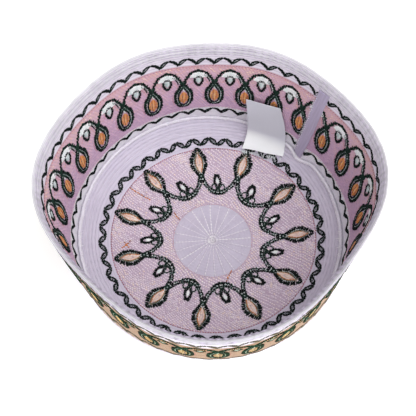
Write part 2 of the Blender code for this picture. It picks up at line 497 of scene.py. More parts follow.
def tape_middle(share):
    """The angle of the tape's middle line, with share 0 at its foot and 1 at its top."""
    return np.radians(TAPE_FOOT_ANGLE + (TAPE_TOP_ANGLE - TAPE_FOOT_ANGLE) * share)


def tape_face():
    """The tape, from its middle line across and from the seam up."""

    def point(across, height):
        share = height / WALL_HEIGHT
        angle = tape_middle(share) + across / OPENING_RADIUS
        radius = wall_radius(angle, share) - TAPE_LIFT - TAPE_THICKNESS
        return on_cap(angle, radius, SEAM_HEIGHT + height)

    return Face(point, INSIDE)


def crown_point(angle, radius, side):
    drop = CLOTH if side == OUTSIDE else 0.0
    return on_cap(angle, radius, crown_height(angle, radius) - drop)


def plane_face(side):
    """The crown as seen from above, round its own middle."""

    def point(x, y):
        return crown_point(np.arctan2(y, x), np.hypot(x, y), side)

    return Face(point, side)


def ring_face(side, reference, base, waves):
    """The crown along a ring: across it is measured on the ring, along from it."""

    def point(across, outwards):
        angle = across / reference
        radius = base + stand_out(waves, angle) + outwards
        return crown_point(angle, radius, side)

    return Face(point, side)


def vine_face(side):
    """The crown by its leaves: one unit runs from a leaf to the next one."""
    count = len(LEAVES)
    turns = np.arange(-1, count + 2)
    angles = [LEAVES[turn % count][0] + 360 * (turn // count) for turn in turns]
    shifts = [LEAVES[turn % count][1] - LEAF_RADIUS for turn in turns]
    unit = math.tau * VINE_REFERENCE * MM / count

    def point(across, radius):
        turn = (across / unit) % count
        angle = np.radians(np.interp(turn, turns, angles))
        shift = np.interp(turn, turns, shifts) * MM
        return crown_point(angle, radius + shift, side)

    return Face(point, side)


def outward(face, points, normals):
    """Turns the normals so that they leave the cloth on the face's own side."""
    lies_level = abs(normals[:, 2]).mean() > 0.6
    if lies_level:
        wanted = np.tile([0.0, 0.0, 1.0], (len(points), 1))
    else:
        wanted = -points * [1.0, 1.0, 0.0]
    if face.side == OUTSIDE:
        wanted = -wanted
    turned = np.sign((normals * wanted).sum(axis=1))
    return normals * turned[:, None]


def face_normals(face, across, along):
    small = 0.3 * MM
    one = face.point(across + small, along) - face.point(across - small, along)
    other = face.point(across, along + small) - face.point(across, along - small)
    normals = np.cross(one, other)
    normals /= np.linalg.norm(normals, axis=1, keepdims=True)
    return outward(face, face.point(across, along), normals)


# Stitches, drawn flat in millimetres
# A drawing is a table with a row for each stitch: where it starts and ends, its
# width and height, and its tone from 0 to 1
COLUMNS = 7

# Keeps a length over zero where it divides
TINY = 1e-9


def smooth_line(points, steps=6):
    """A smooth line through these points."""
    points = np.asarray(points, float)
    padded = np.vstack([2 * points[0] - points[1], points, 2 * points[-1] - points[-2]])
    share = np.linspace(0.0, 1.0, steps, endpoint=False)[:, None]
    pieces = []
    for before, start, end, after in zip(padded, padded[1:], padded[2:], padded[3:]):
        square = 2 * before - 5 * start + 4 * end - after
        cube = 3 * start - before - 3 * end + after
        piece = 2 * start + (end - before) * share + square * share**2 + cube * share**3
        pieces.append(0.5 * piece)
    return np.vstack(pieces + [points[-1:]])


def walk(line, pitch):
    """Evenly spaced places on a line, their headings and their shares of its length."""
    line = np.asarray(line, float)
    steps = np.linalg.norm(np.diff(line, axis=0), axis=1)
    lengths = np.concatenate([[0.0], np.cumsum(steps)])
    count = max(1, round(lengths[-1] / pitch))
    at = (np.arange(count) + 0.5) * lengths[-1] / count
    near = 0.05

    def place(length):
        return np.stack([np.interp(length, lengths, axis) for axis in line.T], axis=1)

    headings = place(at + near) - place(at - near)
    headings /= np.linalg.norm(headings, axis=1, keepdims=True) + TINY
    return place(at), headings, at / lengths[-1]


def drawing(start, end, width, height, tone):
    rows = np.zeros((len(start), COLUMNS))
    rows[:, 0:2] = start
    rows[:, 2:4] = end
    rows[:, 4] = width
    rows[:, 5] = height
    rows[:, 6] = tone
    return rows


# How far a stitch's turn and place may stray in a rope of full roughness, and how high
# threads are for their width
TURN_SPREAD = 80.0
PLACE_SPREAD = 0.8
ROPE_HEIGHT = 0.8
FLAT_HEIGHT = 0.7


def rope(line, width, thread=0.6, pitch=0.62, slant=55.0, tone=(0.2, 0.5), rough=0.12,
         swell=0.0, tall=1.0, seed=1):
    """Slanted stitches side by side along a line, as a satin-stitched rope."""
    places, headings, shares = walk(line, pitch)
    dice = np.random.default_rng(seed)
    turn = np.radians(slant + dice.uniform(-TURN_SPREAD, TURN_SPREAD, len(places)) * rough)
    x, y = headings.T
    cross = np.stack(
        [x * np.cos(turn) - y * np.sin(turn), x * np.sin(turn) + y * np.cos(turn)], axis=1
    )
    half = np.full(len(places), width / 2)
    half *= 1.0 - swell + swell * np.sin(np.pi * shares)
    half *= 1.0 + rough * dice.uniform(-1.0, 1.0, len(places))
    places = places + dice.uniform(-0.5, 0.5, places.shape) * rough * width * PLACE_SPREAD
    tones = dice.uniform(tone[0], tone[1], len(places))
    reach = cross * half[:, None] * [1.0, tall]
    return drawing(places - reach, places + reach, thread, thread * ROPE_HEIGHT, tones)


def run(line, stitch, gap=0.25, thread=0.4, tone=(0.4, 0.6), drift=0.05, seed=1):
    """A line of running stitches."""
    places, headings = walk(line, stitch + gap)[:2]
    dice = np.random.default_rng(seed)
    places = places + dice.normal(0.0, drift, places.shape)
    reach = headings * stitch / 2
    tones = dice.uniform(tone[0], tone[1], len(places))
    return drawing(places - reach, places + reach, thread, thread * FLAT_HEIGHT, tones)


def satin(outline, heading=90.0, pitch=0.5, longest=5.0, thread=0.55, tone=(0.4, 0.8),
          overlap=0.3, seed=1):
    """Parallel stitches that fill an outline, turned by heading from across."""
    turn = math.radians(heading)
    along = np.array([math.cos(turn), math.sin(turn)])
    aside = np.array([-along[1], along[0]])
    outline = np.asarray(outline, float)
    flat = np.stack([outline @ along, outline @ aside], axis=1)
    ends = np.roll(flat, -1, axis=0)
    dice = np.random.default_rng(seed)
    low = flat[:, 1].min()
    high = flat[:, 1].max()
    count = max(1, round((high - low) / pitch))
    rows = []
    for line in range(count):
        level = low + (line + 0.5) * (high - low) / count
        crossed = (flat[:, 1] - level) * (ends[:, 1] - level) < 0
        share = (level - flat[crossed, 1]) / (ends[crossed, 1] - flat[crossed, 1])
        cuts = np.sort(flat[crossed, 0] + share * (ends[crossed, 0] - flat[crossed, 0]))
        for first, last in zip(cuts[::2], cuts[1::2]):
            parts = max(1, math.ceil((last - first) / longest))
            borders = np.linspace(first, last, parts + 1)
            if parts > 1:
                borders[1:-1] += (last - first) / parts * (0.25 if line % 2 else -0.25)
            for begin, end in zip(borders, borders[1:]):
                rows.append((begin - overlap / 2, end + overlap / 2, level))
    if not rows:
        raise ValueError("an outline is too small for its stitches")
    rows = np.array(rows)
    start = rows[:, :1] * along + rows[:, 2:] * aside
    end = rows[:, 1:2] * along + rows[:, 2:] * aside
    tones = dice.uniform(tone[0], tone[1], len(rows))
    return drawing(start, end, thread, thread * FLAT_HEIGHT, tones)


def moved(rows, across, up=0.0):
    """The same stitches further along and higher."""
    return rows + np.array([across, up, across, up, 0.0, 0.0, 0.0])


def mirrored(rows):
    """The same stitches on the other side of x = 0."""
    return rows * np.array([-1.0, 1.0, -1.0, 1.0, 1.0, 1.0, 1.0])


def both_sides(rows):
    return np.vstack([rows, mirrored(rows)])


def both_points(points):
    """A closed outline from its right half, top to bottom."""
    points = np.asarray(points, float)
    return np.vstack([points, points[::-1] * [-1.0, 1.0]])


# How far a whole drawing's tones may stray
TONE_SPREAD = 0.06


def repeated(rows, count, spacing, unevenness, seed=5):
    """The drawing again and again, spacing apart, no two copies quite alike."""
    dice = np.random.default_rng(seed)
    copies = np.tile(rows, (count, 1))
    turn = np.repeat(np.arange(count), len(rows))
    for axes in ((0, 2), (1, 3)):
        sway = dice.normal(0.0, unevenness, count)[turn]
        for axis in axes:
            copies[:, axis] += sway + dice.normal(0.0, unevenness / 3, len(copies))
    for axis in (0, 2):
        copies[:, axis] += turn * spacing
    copies[:, 6] += dice.normal(0.0, TONE_SPREAD, len(copies))
    copies[:, 6] = np.clip(copies[:, 6], 0.0, 1.0)
    return copies


# Making meshes
BLUNT = "blunt"
POINTED = "pointed"


def start_fresh():
    if bpy.context.object and bpy.context.object.mode != "OBJECT":
        bpy.ops.object.mode_set(mode="OBJECT")
    bpy.ops.object.select_all(action="DESELECT")


def settle():
    """Puts a new primitive's place and turn into its points."""
    bpy.ops.object.transform_apply(location=True, rotation=True, scale=True)


def edit(action="SELECT"):
    """Goes into edit mode with all of the mesh selected, or none of it."""
    bpy.ops.object.mode_set(mode="EDIT")
    bpy.ops.mesh.select_all(action=action)


def leave_edit():
    bpy.ops.object.mode_set(mode="OBJECT")


def blunt_spindle():
    bpy.ops.mesh.primitive_uv_sphere_add(
        segments=4, ring_count=3, radius=0.5, rotation=(0.0, math.pi / 2, 0.0)
    )
    settle()
    edit("DESELECT")
    mesh = bpy.context.object.data
    form = bmesh.from_edit_mesh(mesh)
    for vertex in form.verts:
        between_the_tips = abs(vertex.co.x) < 0.4
        vertex.select = between_the_tips
    form.select_flush(True)
    bmesh.update_edit_mesh(mesh)
    bpy.ops.transform.resize(value=(1.4, 1.15, 1.15))


def pointed_spindle():
    bpy.ops.mesh.primitive_cone_add(
        vertices=4, radius1=0.55, radius2=0.0, depth=0.5, end_fill_type="NOTHING",
        location=(0.25, 0.0, 0.0), rotation=(0.0, math.pi / 2, 0.0),
    )
    settle()
    edit()
    bpy.ops.mesh.duplicate()
    bpy.ops.transform.mirror(
        constraint_axis=(True, False, False), center_override=(0.0, 0.0, 0.0)
    )
    bpy.ops.mesh.select_all(action="SELECT")
    bpy.ops.mesh.remove_doubles(threshold=0.001)


def coordinates(obj):
    points = np.zeros(len(obj.data.vertices) * 3)
    obj.data.vertices.foreach_get("co", points)
    return points.reshape(-1, 3)


def model_stitch(kind):
    """One stitch, a spindle along X: its points and its triangles."""
    start_fresh()
    if kind == BLUNT:
        blunt_spindle()
    else:
        pointed_spindle()
    stitch = bpy.context.object
    bpy.ops.mesh.select_all(action="SELECT")
    bpy.ops.mesh.quads_convert_to_tris()
    bpy.ops.mesh.normals_make_consistent(inside=False)
    leave_edit()
    points = coordinates(stitch)
    corners = np.zeros(len(stitch.data.polygons) * 3, dtype=int)
    stitch.data.polygons.foreach_get("vertices", corners)
    bpy.data.objects.remove(stitch)
    return points, corners.reshape(-1, 3)


def sew(name, rows, face, thread_name, lift=0.12, kind=BLUNT):
    """Lays a copy of the stitch at each row of a drawing, joined to one piece."""
    template, corners = model_stitch(kind)
    rows = rows * np.array([MM, MM, MM, MM, MM, MM, 1.0])
    start = face.point(rows[:, 0], rows[:, 1])
    end = face.point(rows[:, 2], rows[:, 3])
    middle = (rows[:, 0] + rows[:, 2]) / 2, (rows[:, 1] + rows[:, 3]) / 2
    normal = face_normals(face, *middle)
    way = end - start
    length = np.linalg.norm(way, axis=1, keepdims=True) + TINY
    way = way / length
    aside = np.cross(normal, way)
    aside /= np.linalg.norm(aside, axis=1, keepdims=True)
    up = np.cross(way, aside)
    seat = (start + end) / 2 + normal * lift * MM
    parts = (
        template[None, :, 0:1] * (way * length)[:, None]
        + template[None, :, 1:2] * (aside * rows[:, 4:5])[:, None]
        + template[None, :, 2:3] * (up * rows[:, 5:6])[:, None]
    )
    points = (seat[:, None] + parts).reshape(-1, 3)
    offsets = np.arange(len(rows))[:, None, None] * len(template)
    triangles = (corners[None] + offsets).reshape(-1, 3)
    mesh = bpy.data.meshes.new(name)
    mesh.vertices.add(len(points))
    mesh.vertices.foreach_set("co", points.ravel())
    mesh.loops.add(triangles.size)
    mesh.loops.foreach_set("vertex_index", triangles.ravel().astype(np.int32))
    mesh.polygons.add(len(triangles))
    starts = np.arange(0, triangles.size, 3, dtype=np.int32)
    mesh.polygons.foreach_set("loop_start", starts)
    mesh.update(calc_edges=True)
    mesh.shade_smooth()
    tones = mesh.attributes.new("tone", "FLOAT", "POINT")
    tones.data.foreach_set("value", np.repeat(rows[:, 6], len(template)))
    mesh.validate()
    mesh.materials.append(thread_material(thread_name))
    piece = bpy.data.objects.new(name, mesh)
    bpy.context.collection.objects.link(piece)
    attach(piece, "root")


def loop_of_cloth(name, radii_heights):
    """A closed band of faces: a circle, extruded and resized from level to level."""
    start_fresh()
    radius, height = radii_heights[0]
    bpy.ops.mesh.primitive_circle_add(
        vertices=CLOTH_COLUMNS, radius=radius, fill_type="NOTHING", location=(0, 0, height)
    )
    band = bpy.context.object
    band.name = name
    settle()
    edit()
    for next_radius, next_height in radii_heights[1:]:
        bpy.ops.mesh.extrude_edges_move(
            TRANSFORM_OT_translate={"value": (0.0, 0.0, next_height - height)}
        )
        grown = next_radius / radius
        bpy.ops.transform.resize(value=(grown, grown, 1.0))
        radius = next_radius
        height = next_height
    leave_edit()
    return band


def close_middle(band):
    """Fills the hole in a disc's middle with a fan of triangles."""
    edit("DESELECT")
    form = bmesh.from_edit_mesh(band.data)
    for edge in form.edges:
        near = all(vertex.co.xy.length < CROWN_HOLE * 1.01 for vertex in edge.verts)
        edge.select = near and edge.is_boundary
    form.select_flush(False)
    bmesh.update_edit_mesh(band.data)
    bpy.ops.mesh.edge_face_add()
    bpy.ops.mesh.poke()
    leave_edit()


def round_axis(obj):
    """The angle, the distance and the height of a mesh's points round the Z axis."""
    x, y, z = coordinates(obj).T
    return np.arctan2(y, x), np.hypot(x, y), z


def move_to(obj, points):
    obj.data.vertices.foreach_set("co", np.asarray(points, float).ravel())
    obj.data.update()


def tidy_normals():
    edit()
    bpy.ops.mesh.remove_doubles(threshold=0.00001)
    bpy.ops.mesh.normals_make_consistent(inside=False)
    leave_edit()


def turn_over():
    edit()
    bpy.ops.mesh.flip_normals()
    leave_edit()


def face_inwards(face):
    """Turns the active cloth over if this face of it looks away from the cap's axis."""
    if face.normal.xy.dot(face.center.xy) > 0:
        turn_over()


def add_value(obj, name, values):
    attribute = obj.data.attributes.new(name, "FLOAT", "POINT")
    attribute.data.foreach_set("value", np.asarray(values, float))


def flat_map(obj, angle, radius, along):
    """The cloth's own flat coordinates as a UV map, cut open at one angle."""
    mesh = obj.data
    layer = mesh.uv_layers.new(name="cloth")
    corners = np.zeros(len(mesh.loops), dtype=int)
    mesh.loops.foreach_get("vertex_index", corners)
    totals = np.zeros(len(mesh.polygons), dtype=int)
    mesh.polygons.foreach_get("loop_total", totals)
    face_of = np.repeat(np.arange(len(totals)), totals)
    turned = angle[corners]
    starts = np.concatenate([[0], np.cumsum(totals)[:-1]])
    first = turned[starts][face_of]
    turned = first + (turned - first + math.pi) % math.tau - math.pi
    uv = np.stack([turned * radius, along[corners]], axis=1)
    layer.data.foreach_set("uv", uv.ravel())


def thicken(cloth, thickness, inner):
    """Gives the active cloth its thickness, with its last material on its far side."""
    shell = cloth.modifiers.new("thickness", "SOLIDIFY")
    shell.thickness = thickness
    shell.offset = -1.0
    shell.use_even_offset = True
    shell.material_offset = inner
    bpy.ops.object.modifier_apply(modifier="thickness")


def finish_cloth(cloth, materials, node, thickness=None, smooth_to=45.0):
    """Dresses a cloth in its materials and puts it in the place of a solid."""
    for material in materials:
        cloth.data.materials.append(material)
    if thickness:
        thicken(cloth, thickness, len(materials) - 1)
    start_fresh()
    cloth.select_set(True)
    bpy.context.view_layer.objects.active = cloth
    bpy.ops.object.shade_smooth_by_angle(angle=math.radians(smooth_to))
    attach(cloth, "root")
    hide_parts(node)
    return cloth


# Materials
def add_node(tree, kind, **settings):
    node = tree.nodes.new(kind)
    for name, value in settings.items():
        setattr(node, name, value)
    return node


def feed(tree, source, socket):
    """Links another socket to this one, or sets a plain value on it."""
    if isinstance(source, bpy.types.NodeSocket):
        tree.links.new(source, socket)
    else:
        socket.default_value = source


def ramp(tree, source, stops, smooth=False):
    """A colour for each value, from stops of a place and a colour."""
    node = add_node(tree, "ShaderNodeValToRGB")
    node.color_ramp.interpolation = "EASE" if smooth else "LINEAR"
    elements = node.color_ramp.elements
    while len(elements) < len(stops):
        elements.new(1.0)
    for element, (place, colour) in zip(elements, stops):
        element.position = place
        element.color = colour
    feed(tree, source, node.inputs["Fac"])
    return node.outputs["Color"]


def noise(tree, scale, detail=2.0, stretch=(1.0, 1.0, 1.0), source="Object"):
    place = add_node(tree, "ShaderNodeTexCoord")
    mapping = add_node(tree, "ShaderNodeMapping")
    mapping.inputs["Scale"].default_value = stretch
    texture = add_node(tree, "ShaderNodeTexNoise")
    texture.inputs["Scale"].default_value = scale
    texture.inputs["Detail"].default_value = detail
    feed(tree, place.outputs[source], mapping.inputs["Vector"])
    feed(tree, mapping.outputs["Vector"], texture.inputs["Vector"])
    return texture.outputs["Fac"]


def blend(tree, share, first, second, mode="MIX"):
    """Two colours mixed. Either may be a plain colour."""
    node = add_node(tree, "ShaderNodeMix", data_type="RGBA", blend_type=mode)
    for source, target in ((share, 0), (first, 6), (second, 7)):
        feed(tree, source, node.inputs[target])
    return node.outputs[2]


def maths(tree, kind, first, second=0.0):
    node = add_node(tree, "ShaderNodeMath", operation=kind)
    feed(tree, first, node.inputs[0])
    feed(tree, second, node.inputs[1])
    return node.outputs[0]


def times(tree, first, second):
    return maths(tree, "MULTIPLY", first, second)


def plus(tree, first, second):
    return maths(tree, "ADD", first, second)


def less(tree, first, second):
    return maths(tree, "SUBTRACT", first, second)


def value_of(tree, name):
    return add_node(tree, "ShaderNodeAttribute", attribute_name=name).outputs["Fac"]


def on_cloth(tree):
    """How far across and along the cloth's flat map a point is."""
    place = add_node(tree, "ShaderNodeUVMap", uv_map="cloth")
    split = add_node(tree, "ShaderNodeSeparateXYZ")
    feed(tree, place.outputs["UV"], split.inputs["Vector"])
    return split.outputs["X"], split.outputs["Y"]


def raise_by(tree, shader, height, depth, strength, under=None):
    """A bump on the shader, on top of the bump under it."""
    node = add_node(tree, "ShaderNodeBump")
    node.inputs["Strength"].default_value = strength
    node.inputs["Distance"].default_value = depth
    feed(tree, height, node.inputs["Height"])
    if under is not None:
        feed(tree, under, node.inputs["Normal"])
    feed(tree, node.outputs["Normal"], shader.inputs["Normal"])
    return node.outputs["Normal"]


def weave(tree, shader, under=None, pitch=0.55 * MM, depth=WEAVE_DEPTH, strength=0.5):
    """A plain weave, over and under, on the cloth's flat map."""
    across, along = on_cloth(tree)
    turns = math.tau / pitch
    warp = maths(tree, "SINE", times(tree, across, turns))
    weft = maths(tree, "SINE", times(tree, along, turns))
    raise_by(tree, shader, times(tree, warp, weft), depth, strength, under)


def new_material(name, roughness=0.85, sheen=0.35, shine=0.3):
    material = bpy.data.materials.new(name)
    material.use_nodes = True
    tree = material.node_tree
    shader = tree.nodes["Principled BSDF"]
    shader.inputs["Roughness"].default_value = roughness
    shader.inputs["Sheen Weight"].default_value = sheen
    shader.inputs["Sheen Roughness"].default_value = 0.5
    shader.inputs["Specular IOR Level"].default_value = shine
    return material, tree, shader


def cloth_material(name, base, overlay=None):
    """Woven cloth of one colour with a little unevenness, and perhaps more drawn over it, such as
    the hem's rows and painted shade.
    """
    material, tree, shader = new_material(name)
    darker = [channel * 0.86 for channel in base[:3]] + [1.0]
    colour = ramp(tree, noise(tree, 90.0, 4.0), [(0.35, darker), (0.65, base)])
    if overlay:
        colour = overlay(tree, colour)
    feed(tree, colour, shader.inputs["Base Color"])
    weave(tree, shader, raise_by(tree, shader, noise(tree, 160.0, 3.0), CLOTH_DEPTH, 0.35))
    return material


def zoned(tree, zone, borders, colours, blur):
    """Colours side by side over a value, blurred a little at the borders."""
    margin = borders[-1] - borders[0] + 0.1
    low = borders[0] - margin
    span = borders[-1] + margin - low
    share = maths(tree, "DIVIDE", less(tree, zone, low), span)
    result = colours[0]
    for border, colour in zip(borders, colours[1:]):
        edge = (border - low) / span
        clamp = add_node(tree, "ShaderNodeClamp")
        step = times(tree, less(tree, share, edge), span / blur)
        feed(tree, step, clamp.inputs["Value"])
        result = blend(tree, clamp.outputs["Result"], result, colour)
    return result


def shaded(tree, colour, value, stops):
    """The colour, darkened over a value by stops of a place and a colour."""
    return blend(tree, 1.0, colour, ramp(tree, value, stops), "MULTIPLY")


def mottled(tree, colour):
    """The colour, darker here and there."""
    stops = [(0.3, (0.94, 0.93, 0.95, 1.0)), (0.65, WHITE)]
    return shaded(tree, colour, noise(tree, 110.0, 4.0), stops)


def quilted_rows(tree, height, pitch, colour, low=0.8):
    """Sewn rows with painted shade darkening their thin grooves: their colour, and their height for
    a bump.
    """
    wave = maths(tree, "SINE", times(tree, height, math.tau / pitch))
    level = plus(tree, times(tree, wave, 0.5), 0.5)
    # Painted shade: the colour drops to low at the bottom of each groove, on top of the bump.
    stops = [(0.05, (low, low, low + 0.02, 1.0)), (0.42, WHITE)]
    return shaded(tree, colour, level, stops), wave


# The colour of each thread from its darkest tone to its lightest
THREADS = {
    "dark_thread": (
        (0.0, (10, 13, 15)), (0.35, (20, 32, 29)), (0.6, (32, 62, 50)), (0.8, (66, 92, 82)),
        (1.0, (158, 170, 166)),
    ),
    "green_thread": (
        (0.0, (18, 22, 12)), (0.35, (30, 46, 22)), (0.6, (22, 84, 60)), (0.85, (70, 120, 80)),
        (1.0, (160, 170, 110)),
    ),
    "light_thread": (
        (0.0, (112, 136, 130)), (0.4, (186, 204, 204)), (0.75, (232, 240, 240)),
        (1.0, (252, 252, 253)),
    ),
    "mint_thread": (
        (0.0, (120, 150, 120)), (0.5, (186, 214, 186)), (1.0, (232, 240, 222)),
    ),
    "gold_thread": (
        (0.0, (104, 50, 24)), (0.3, (208, 118, 44)), (0.6, (242, 160, 72)), (1.0, (252, 206, 136)),
    ),
    "yellow_thread": (
        (0.0, (112, 74, 30)), (0.3, (184, 132, 50)), (0.6, (220, 182, 82)), (1.0, (238, 216, 146)),
    ),
    "cream_thread": (
        (0.0, (168, 98, 60)), (0.3, (222, 144, 92)), (0.55, (238, 196, 172)), (0.8, (248, 222, 210)),
        (1.0, (255, 246, 240)),
    ),
    "olive_thread": (
        (0.0, (58, 54, 34)), (0.5, (108, 98, 64)), (1.0, (168, 158, 122)),
    ),
    "ridge_thread": (
        (0.0, (216, 194, 212)), (0.35, (246, 234, 246)), (0.65, (252, 238, 244)),
        (0.85, (252, 232, 224)), (1.0, (255, 248, 246)),
    ),
    "band_thread": (
        (0.0, (188, 148, 184)), (0.4, (225, 188, 213)), (0.7, (224, 182, 190)),
        (0.9, (238, 196, 176)), (1.0, (248, 222, 204)),
    ),
    "tonal_thread": (
        (0.0, (190, 178, 200)), (0.5, (222, 214, 232)), (0.8, (238, 232, 244)),
        (1.0, (252, 250, 254)),
    ),
    "satin_thread": (
        (0.0, (180, 126, 78)), (0.5, (208, 156, 104)), (1.0, (222, 176, 124)),
    ),
    "rose_thread": (
        (0.0, (128, 54, 76)), (0.5, (196, 104, 112)), (1.0, (232, 160, 140)),
    ),
}


def thread_material(name):
    """Twisted thread, its colour by the stitch's tone and a little by its place."""
    known = bpy.data.materials.get(name)
    if known:
        return known
    stops = [(place, linear(*colour)) for place, colour in THREADS[name]]
    nearly_black = max(stops[0][1][:3]) < 0.02
    roughness, sheen, shine = (0.65, 0.0, 0.12) if nearly_black else (0.5, 0.2, 0.3)
    material, tree, shader = new_material(name, roughness, sheen, shine)
    uneven = times(tree, less(tree, noise(tree, 420.0), 0.5), 0.35)
    tone = plus(tree, value_of(tree, "tone"), uneven)
    feed(tree, ramp(tree, tone, stops), shader.inputs["Base Color"])
    raise_by(tree, shader, noise(tree, 2600.0, 1.0), THREAD_DEPTH, 0.6)
    return material


def crown_material(name, colours, side):
    material, tree, shader = new_material(name)
    zone = value_of(tree, "zone")
    ground = colours.ridge_ground if side == INSIDE else colours.satin
    outer, wave = quilted_rows(tree, zone, CROWN_QUILTING, linear(219, 212, 228), 0.88)
    borders = MEDALLION_RADIUS, ROSE_RADIUS
    grounds = tuple(colours.lavender), tuple(ground), outer
    colour = zoned(tree, zone, borders, grounds, CROWN_BLUR)
    feed(tree, mottled(tree, colour), shader.inputs["Base Color"])
    weave(tree, shader, raise_by(tree, shader, wave, QUILTING_DEPTH, 0.35))
    return material


def wall_material(name, colours, side):
    material, tree, shader = new_material(name)
    share = value_of(tree, "zone")
    if side == INSIDE:
        patches = times(tree, noise(tree, 260.0, 5.0), 0.9)
        warm = plus(tree, patches, times(tree, less(tree, share, 0.55), 0.8))
        stops = [(0.25, tuple(colours.mauve)), (0.62, tuple(colours.rose))]
        foot, top = BAND_FOOT, BAND_TOP
    else:
        warm = noise(tree, 420.0, 3.0, (1.0, 1.0, 2.5))
        dark, light = linear(146, 96, 57), linear(182, 142, 95)
        stops = [(0.32, dark), (0.5, tuple(colours.satin)), (0.66, light)]
        foot, top = SATIN_FOOT, SATIN_TOP
    band = ramp(tree, warm, stops)
    pitch = WALL_QUILTING / WALL_HEIGHT
    pale, wave = quilted_rows(tree, share, pitch, tuple(colours.pale))
    brim = quilted_rows(tree, share, pitch, tuple(colours.brim))[0]
    borders = foot * MM / WALL_HEIGHT, top * MM / WALL_HEIGHT
    colour = zoned(tree, share, borders, (pale, band, brim), WALL_BLUR)
    feed(tree, mottled(tree, colour), shader.inputs["Base Color"])
    soft = raise_by(tree, shader, wave, QUILTING_DEPTH, 0.3)
    weave(tree, shader, raise_by(tree, shader, noise(tree, 900.0), GRAIN_DEPTH, 0.4, soft))
    return material


def hem_rows_and_painted_shade(tree, colour):
    """Quilting rows over the hem, with painted shade that greys its outer face."""
    rows = quilted_rows(tree, on_cloth(tree)[1], HEM_QUILTING, colour)[0]
    # Painted shade: the colour darkens to 0.8 towards the hem's outer face.
    return shaded(tree, rows, value_of(tree, "zone"), [(0.4, WHITE), (0.9, grey(0.8))])


def tape_material(base):
    material, tree, shader = new_material("tape_cloth", 0.45, 0.3)
    streaks = noise(tree, 900.0, 3.0, (1.0, 0.05, 1.0), "UV")
    pale = tuple(min(1.0, channel * 1.25) for channel in base[:3]) + (1.0,)
    colour = ramp(tree, streaks, [(0.35, base), (0.7, pale)])
    feed(tree, colour, shader.inputs["Base Color"])
    soft = raise_by(tree, shader, streaks, QUILTING_DEPTH, 0.3)
    weave(tree, shader, soft, 0.4 * MM, 0.06 * MM, 0.4)
    return material


def label_material(base):
    """Satin, with painted shade darkening the part that stands up along the wall."""
    material, tree, shader = new_material("label_satin", 0.38, 0.15)
    # Painted shade: the part of the label that stands up along the wall is darkened to about 0.7 of
    # the satin's colour.
    painted_shade_colour = (base[0] * 0.7, base[1] * 0.7, base[2] * 0.76, 1.0)
    across, along = on_cloth(tree)
    climb = times(tree, plus(tree, along, times(tree, across, 0.3)), 16.0)
    painted_shade_amount = plus(tree, climb, times(tree, noise(tree, 60.0), 0.08))
    colour = ramp(tree, painted_shade_amount, [(0.28, base), (0.52, painted_shade_colour)], smooth=True)
    feed(tree, colour, shader.inputs["Base Color"])
    weave(tree, shader, None, 0.3 * MM, 0.05 * MM, 0.35)
    return material


# The cloth pieces
def even_steps(start, end, count):
    return [start + (end - start) * step / count for step in range(count + 1)]


def make_crown_cloth(colours, lines):
    radii = even_steps(CROWN_HOLE, CROWN_RADIUS, CROWN_RINGS)
    crown = loop_of_cloth("crown_cloth", [(radius, 0.0) for radius in radii])
    close_middle(crown)
    tidy_normals()
    angle, distance, _ = round_axis(crown)
    radius = (wall_radius(angle, 0.0) + CLOTH) * distance / CROWN_RADIUS
    wedge = np.abs(np.sin(angle * lines / 2.0)) ** WEDGE_ROUNDNESS
    wedge = wedge * np.clip(radius / WEDGE_FADE_IN, 0, 1)
    wedge = wedge * np.clip((MEDALLION_RADIUS - radius) / WEDGE_FADE_OUT, 0, 1)
    height = crown_height(angle, radius) + WEDGE_HEIGHT * wedge
    move_to(crown, on_cap(angle, radius, height))
    if crown.data.polygons[0].normal.z < 0:
        turn_over()
    bent = np.clip((radius - BEND_START) / BEND_WIDTH, 0, 1)
    add_value(crown, "zone", radius - stand_out(ROSE_WAVES, angle) * bent)
    flat_map(crown, angle, VINE_REFERENCE * MM, radius)
    materials = (
        crown_material("crown_inside", colours, INSIDE),
        crown_material("crown_outside", colours, OUTSIDE),
    )
    return finish_cloth(crown, materials, "crown", CLOTH)


def make_wall_cloth(colours):
    top = WALL_HEIGHT - HEM_HEIGHT - WALL_TOP_GAP
    levels = even_steps(WALL_FOOT_GAP, top, WALL_LEVELS)
    wall = loop_of_cloth("wall_cloth", [(CROWN_RADIUS, level) for level in levels])
    tidy_normals()
    angle, _, height = round_axis(wall)
    radius = wall_radius(angle, height / WALL_HEIGHT)
    move_to(wall, on_cap(angle, radius, SEAM_HEIGHT + height))
    add_value(wall, "zone", unsunk(angle, height) / WALL_HEIGHT)
    flat_map(wall, angle, OPENING_RADIUS, height)
    face_inwards(wall.data.polygons[0])
    materials = (
        wall_material("wall_inside", colours, INSIDE),
        wall_material("wall_outside", colours, OUTSIDE),
    )
    return finish_cloth(wall, materials, "side_wall", CLOTH)


def spun_profile(name, points):
    """A closed outline across the wall, spun once round the cap's axis."""
    start_fresh()
    bpy.ops.mesh.primitive_circle_add(
        vertices=len(points), radius=1.0, fill_type="NOTHING", location=(0, 0, 0)
    )
    obj = bpy.context.object
    obj.name = name
    move_to(obj, [(across, 0.0, up) for across, up in points])
    edit()
    bpy.ops.mesh.spin(
        steps=CLOTH_COLUMNS, angle=math.tau, center=(0.0, 0.0, 0.0), axis=(0.0, 0.0, 1.0)
    )
    leave_edit()
    tidy_normals()
    return obj


def rounded_box(width, height, rounding, steps):
    """An outline with round corners, from 0 to width and from 0 to height."""
    points = []
    right = width - rounding
    top = height - rounding
    corners = (right, rounding, -90), (right, top, 0), (rounding, top, 90)
    for x, y, start in (*corners, (rounding, rounding, 180)):
        for step in range(steps + 1):
            turn = math.radians(start + 90 * step / steps)
            points.append((x + rounding * math.cos(turn), y + rounding * math.sin(turn)))
    return points


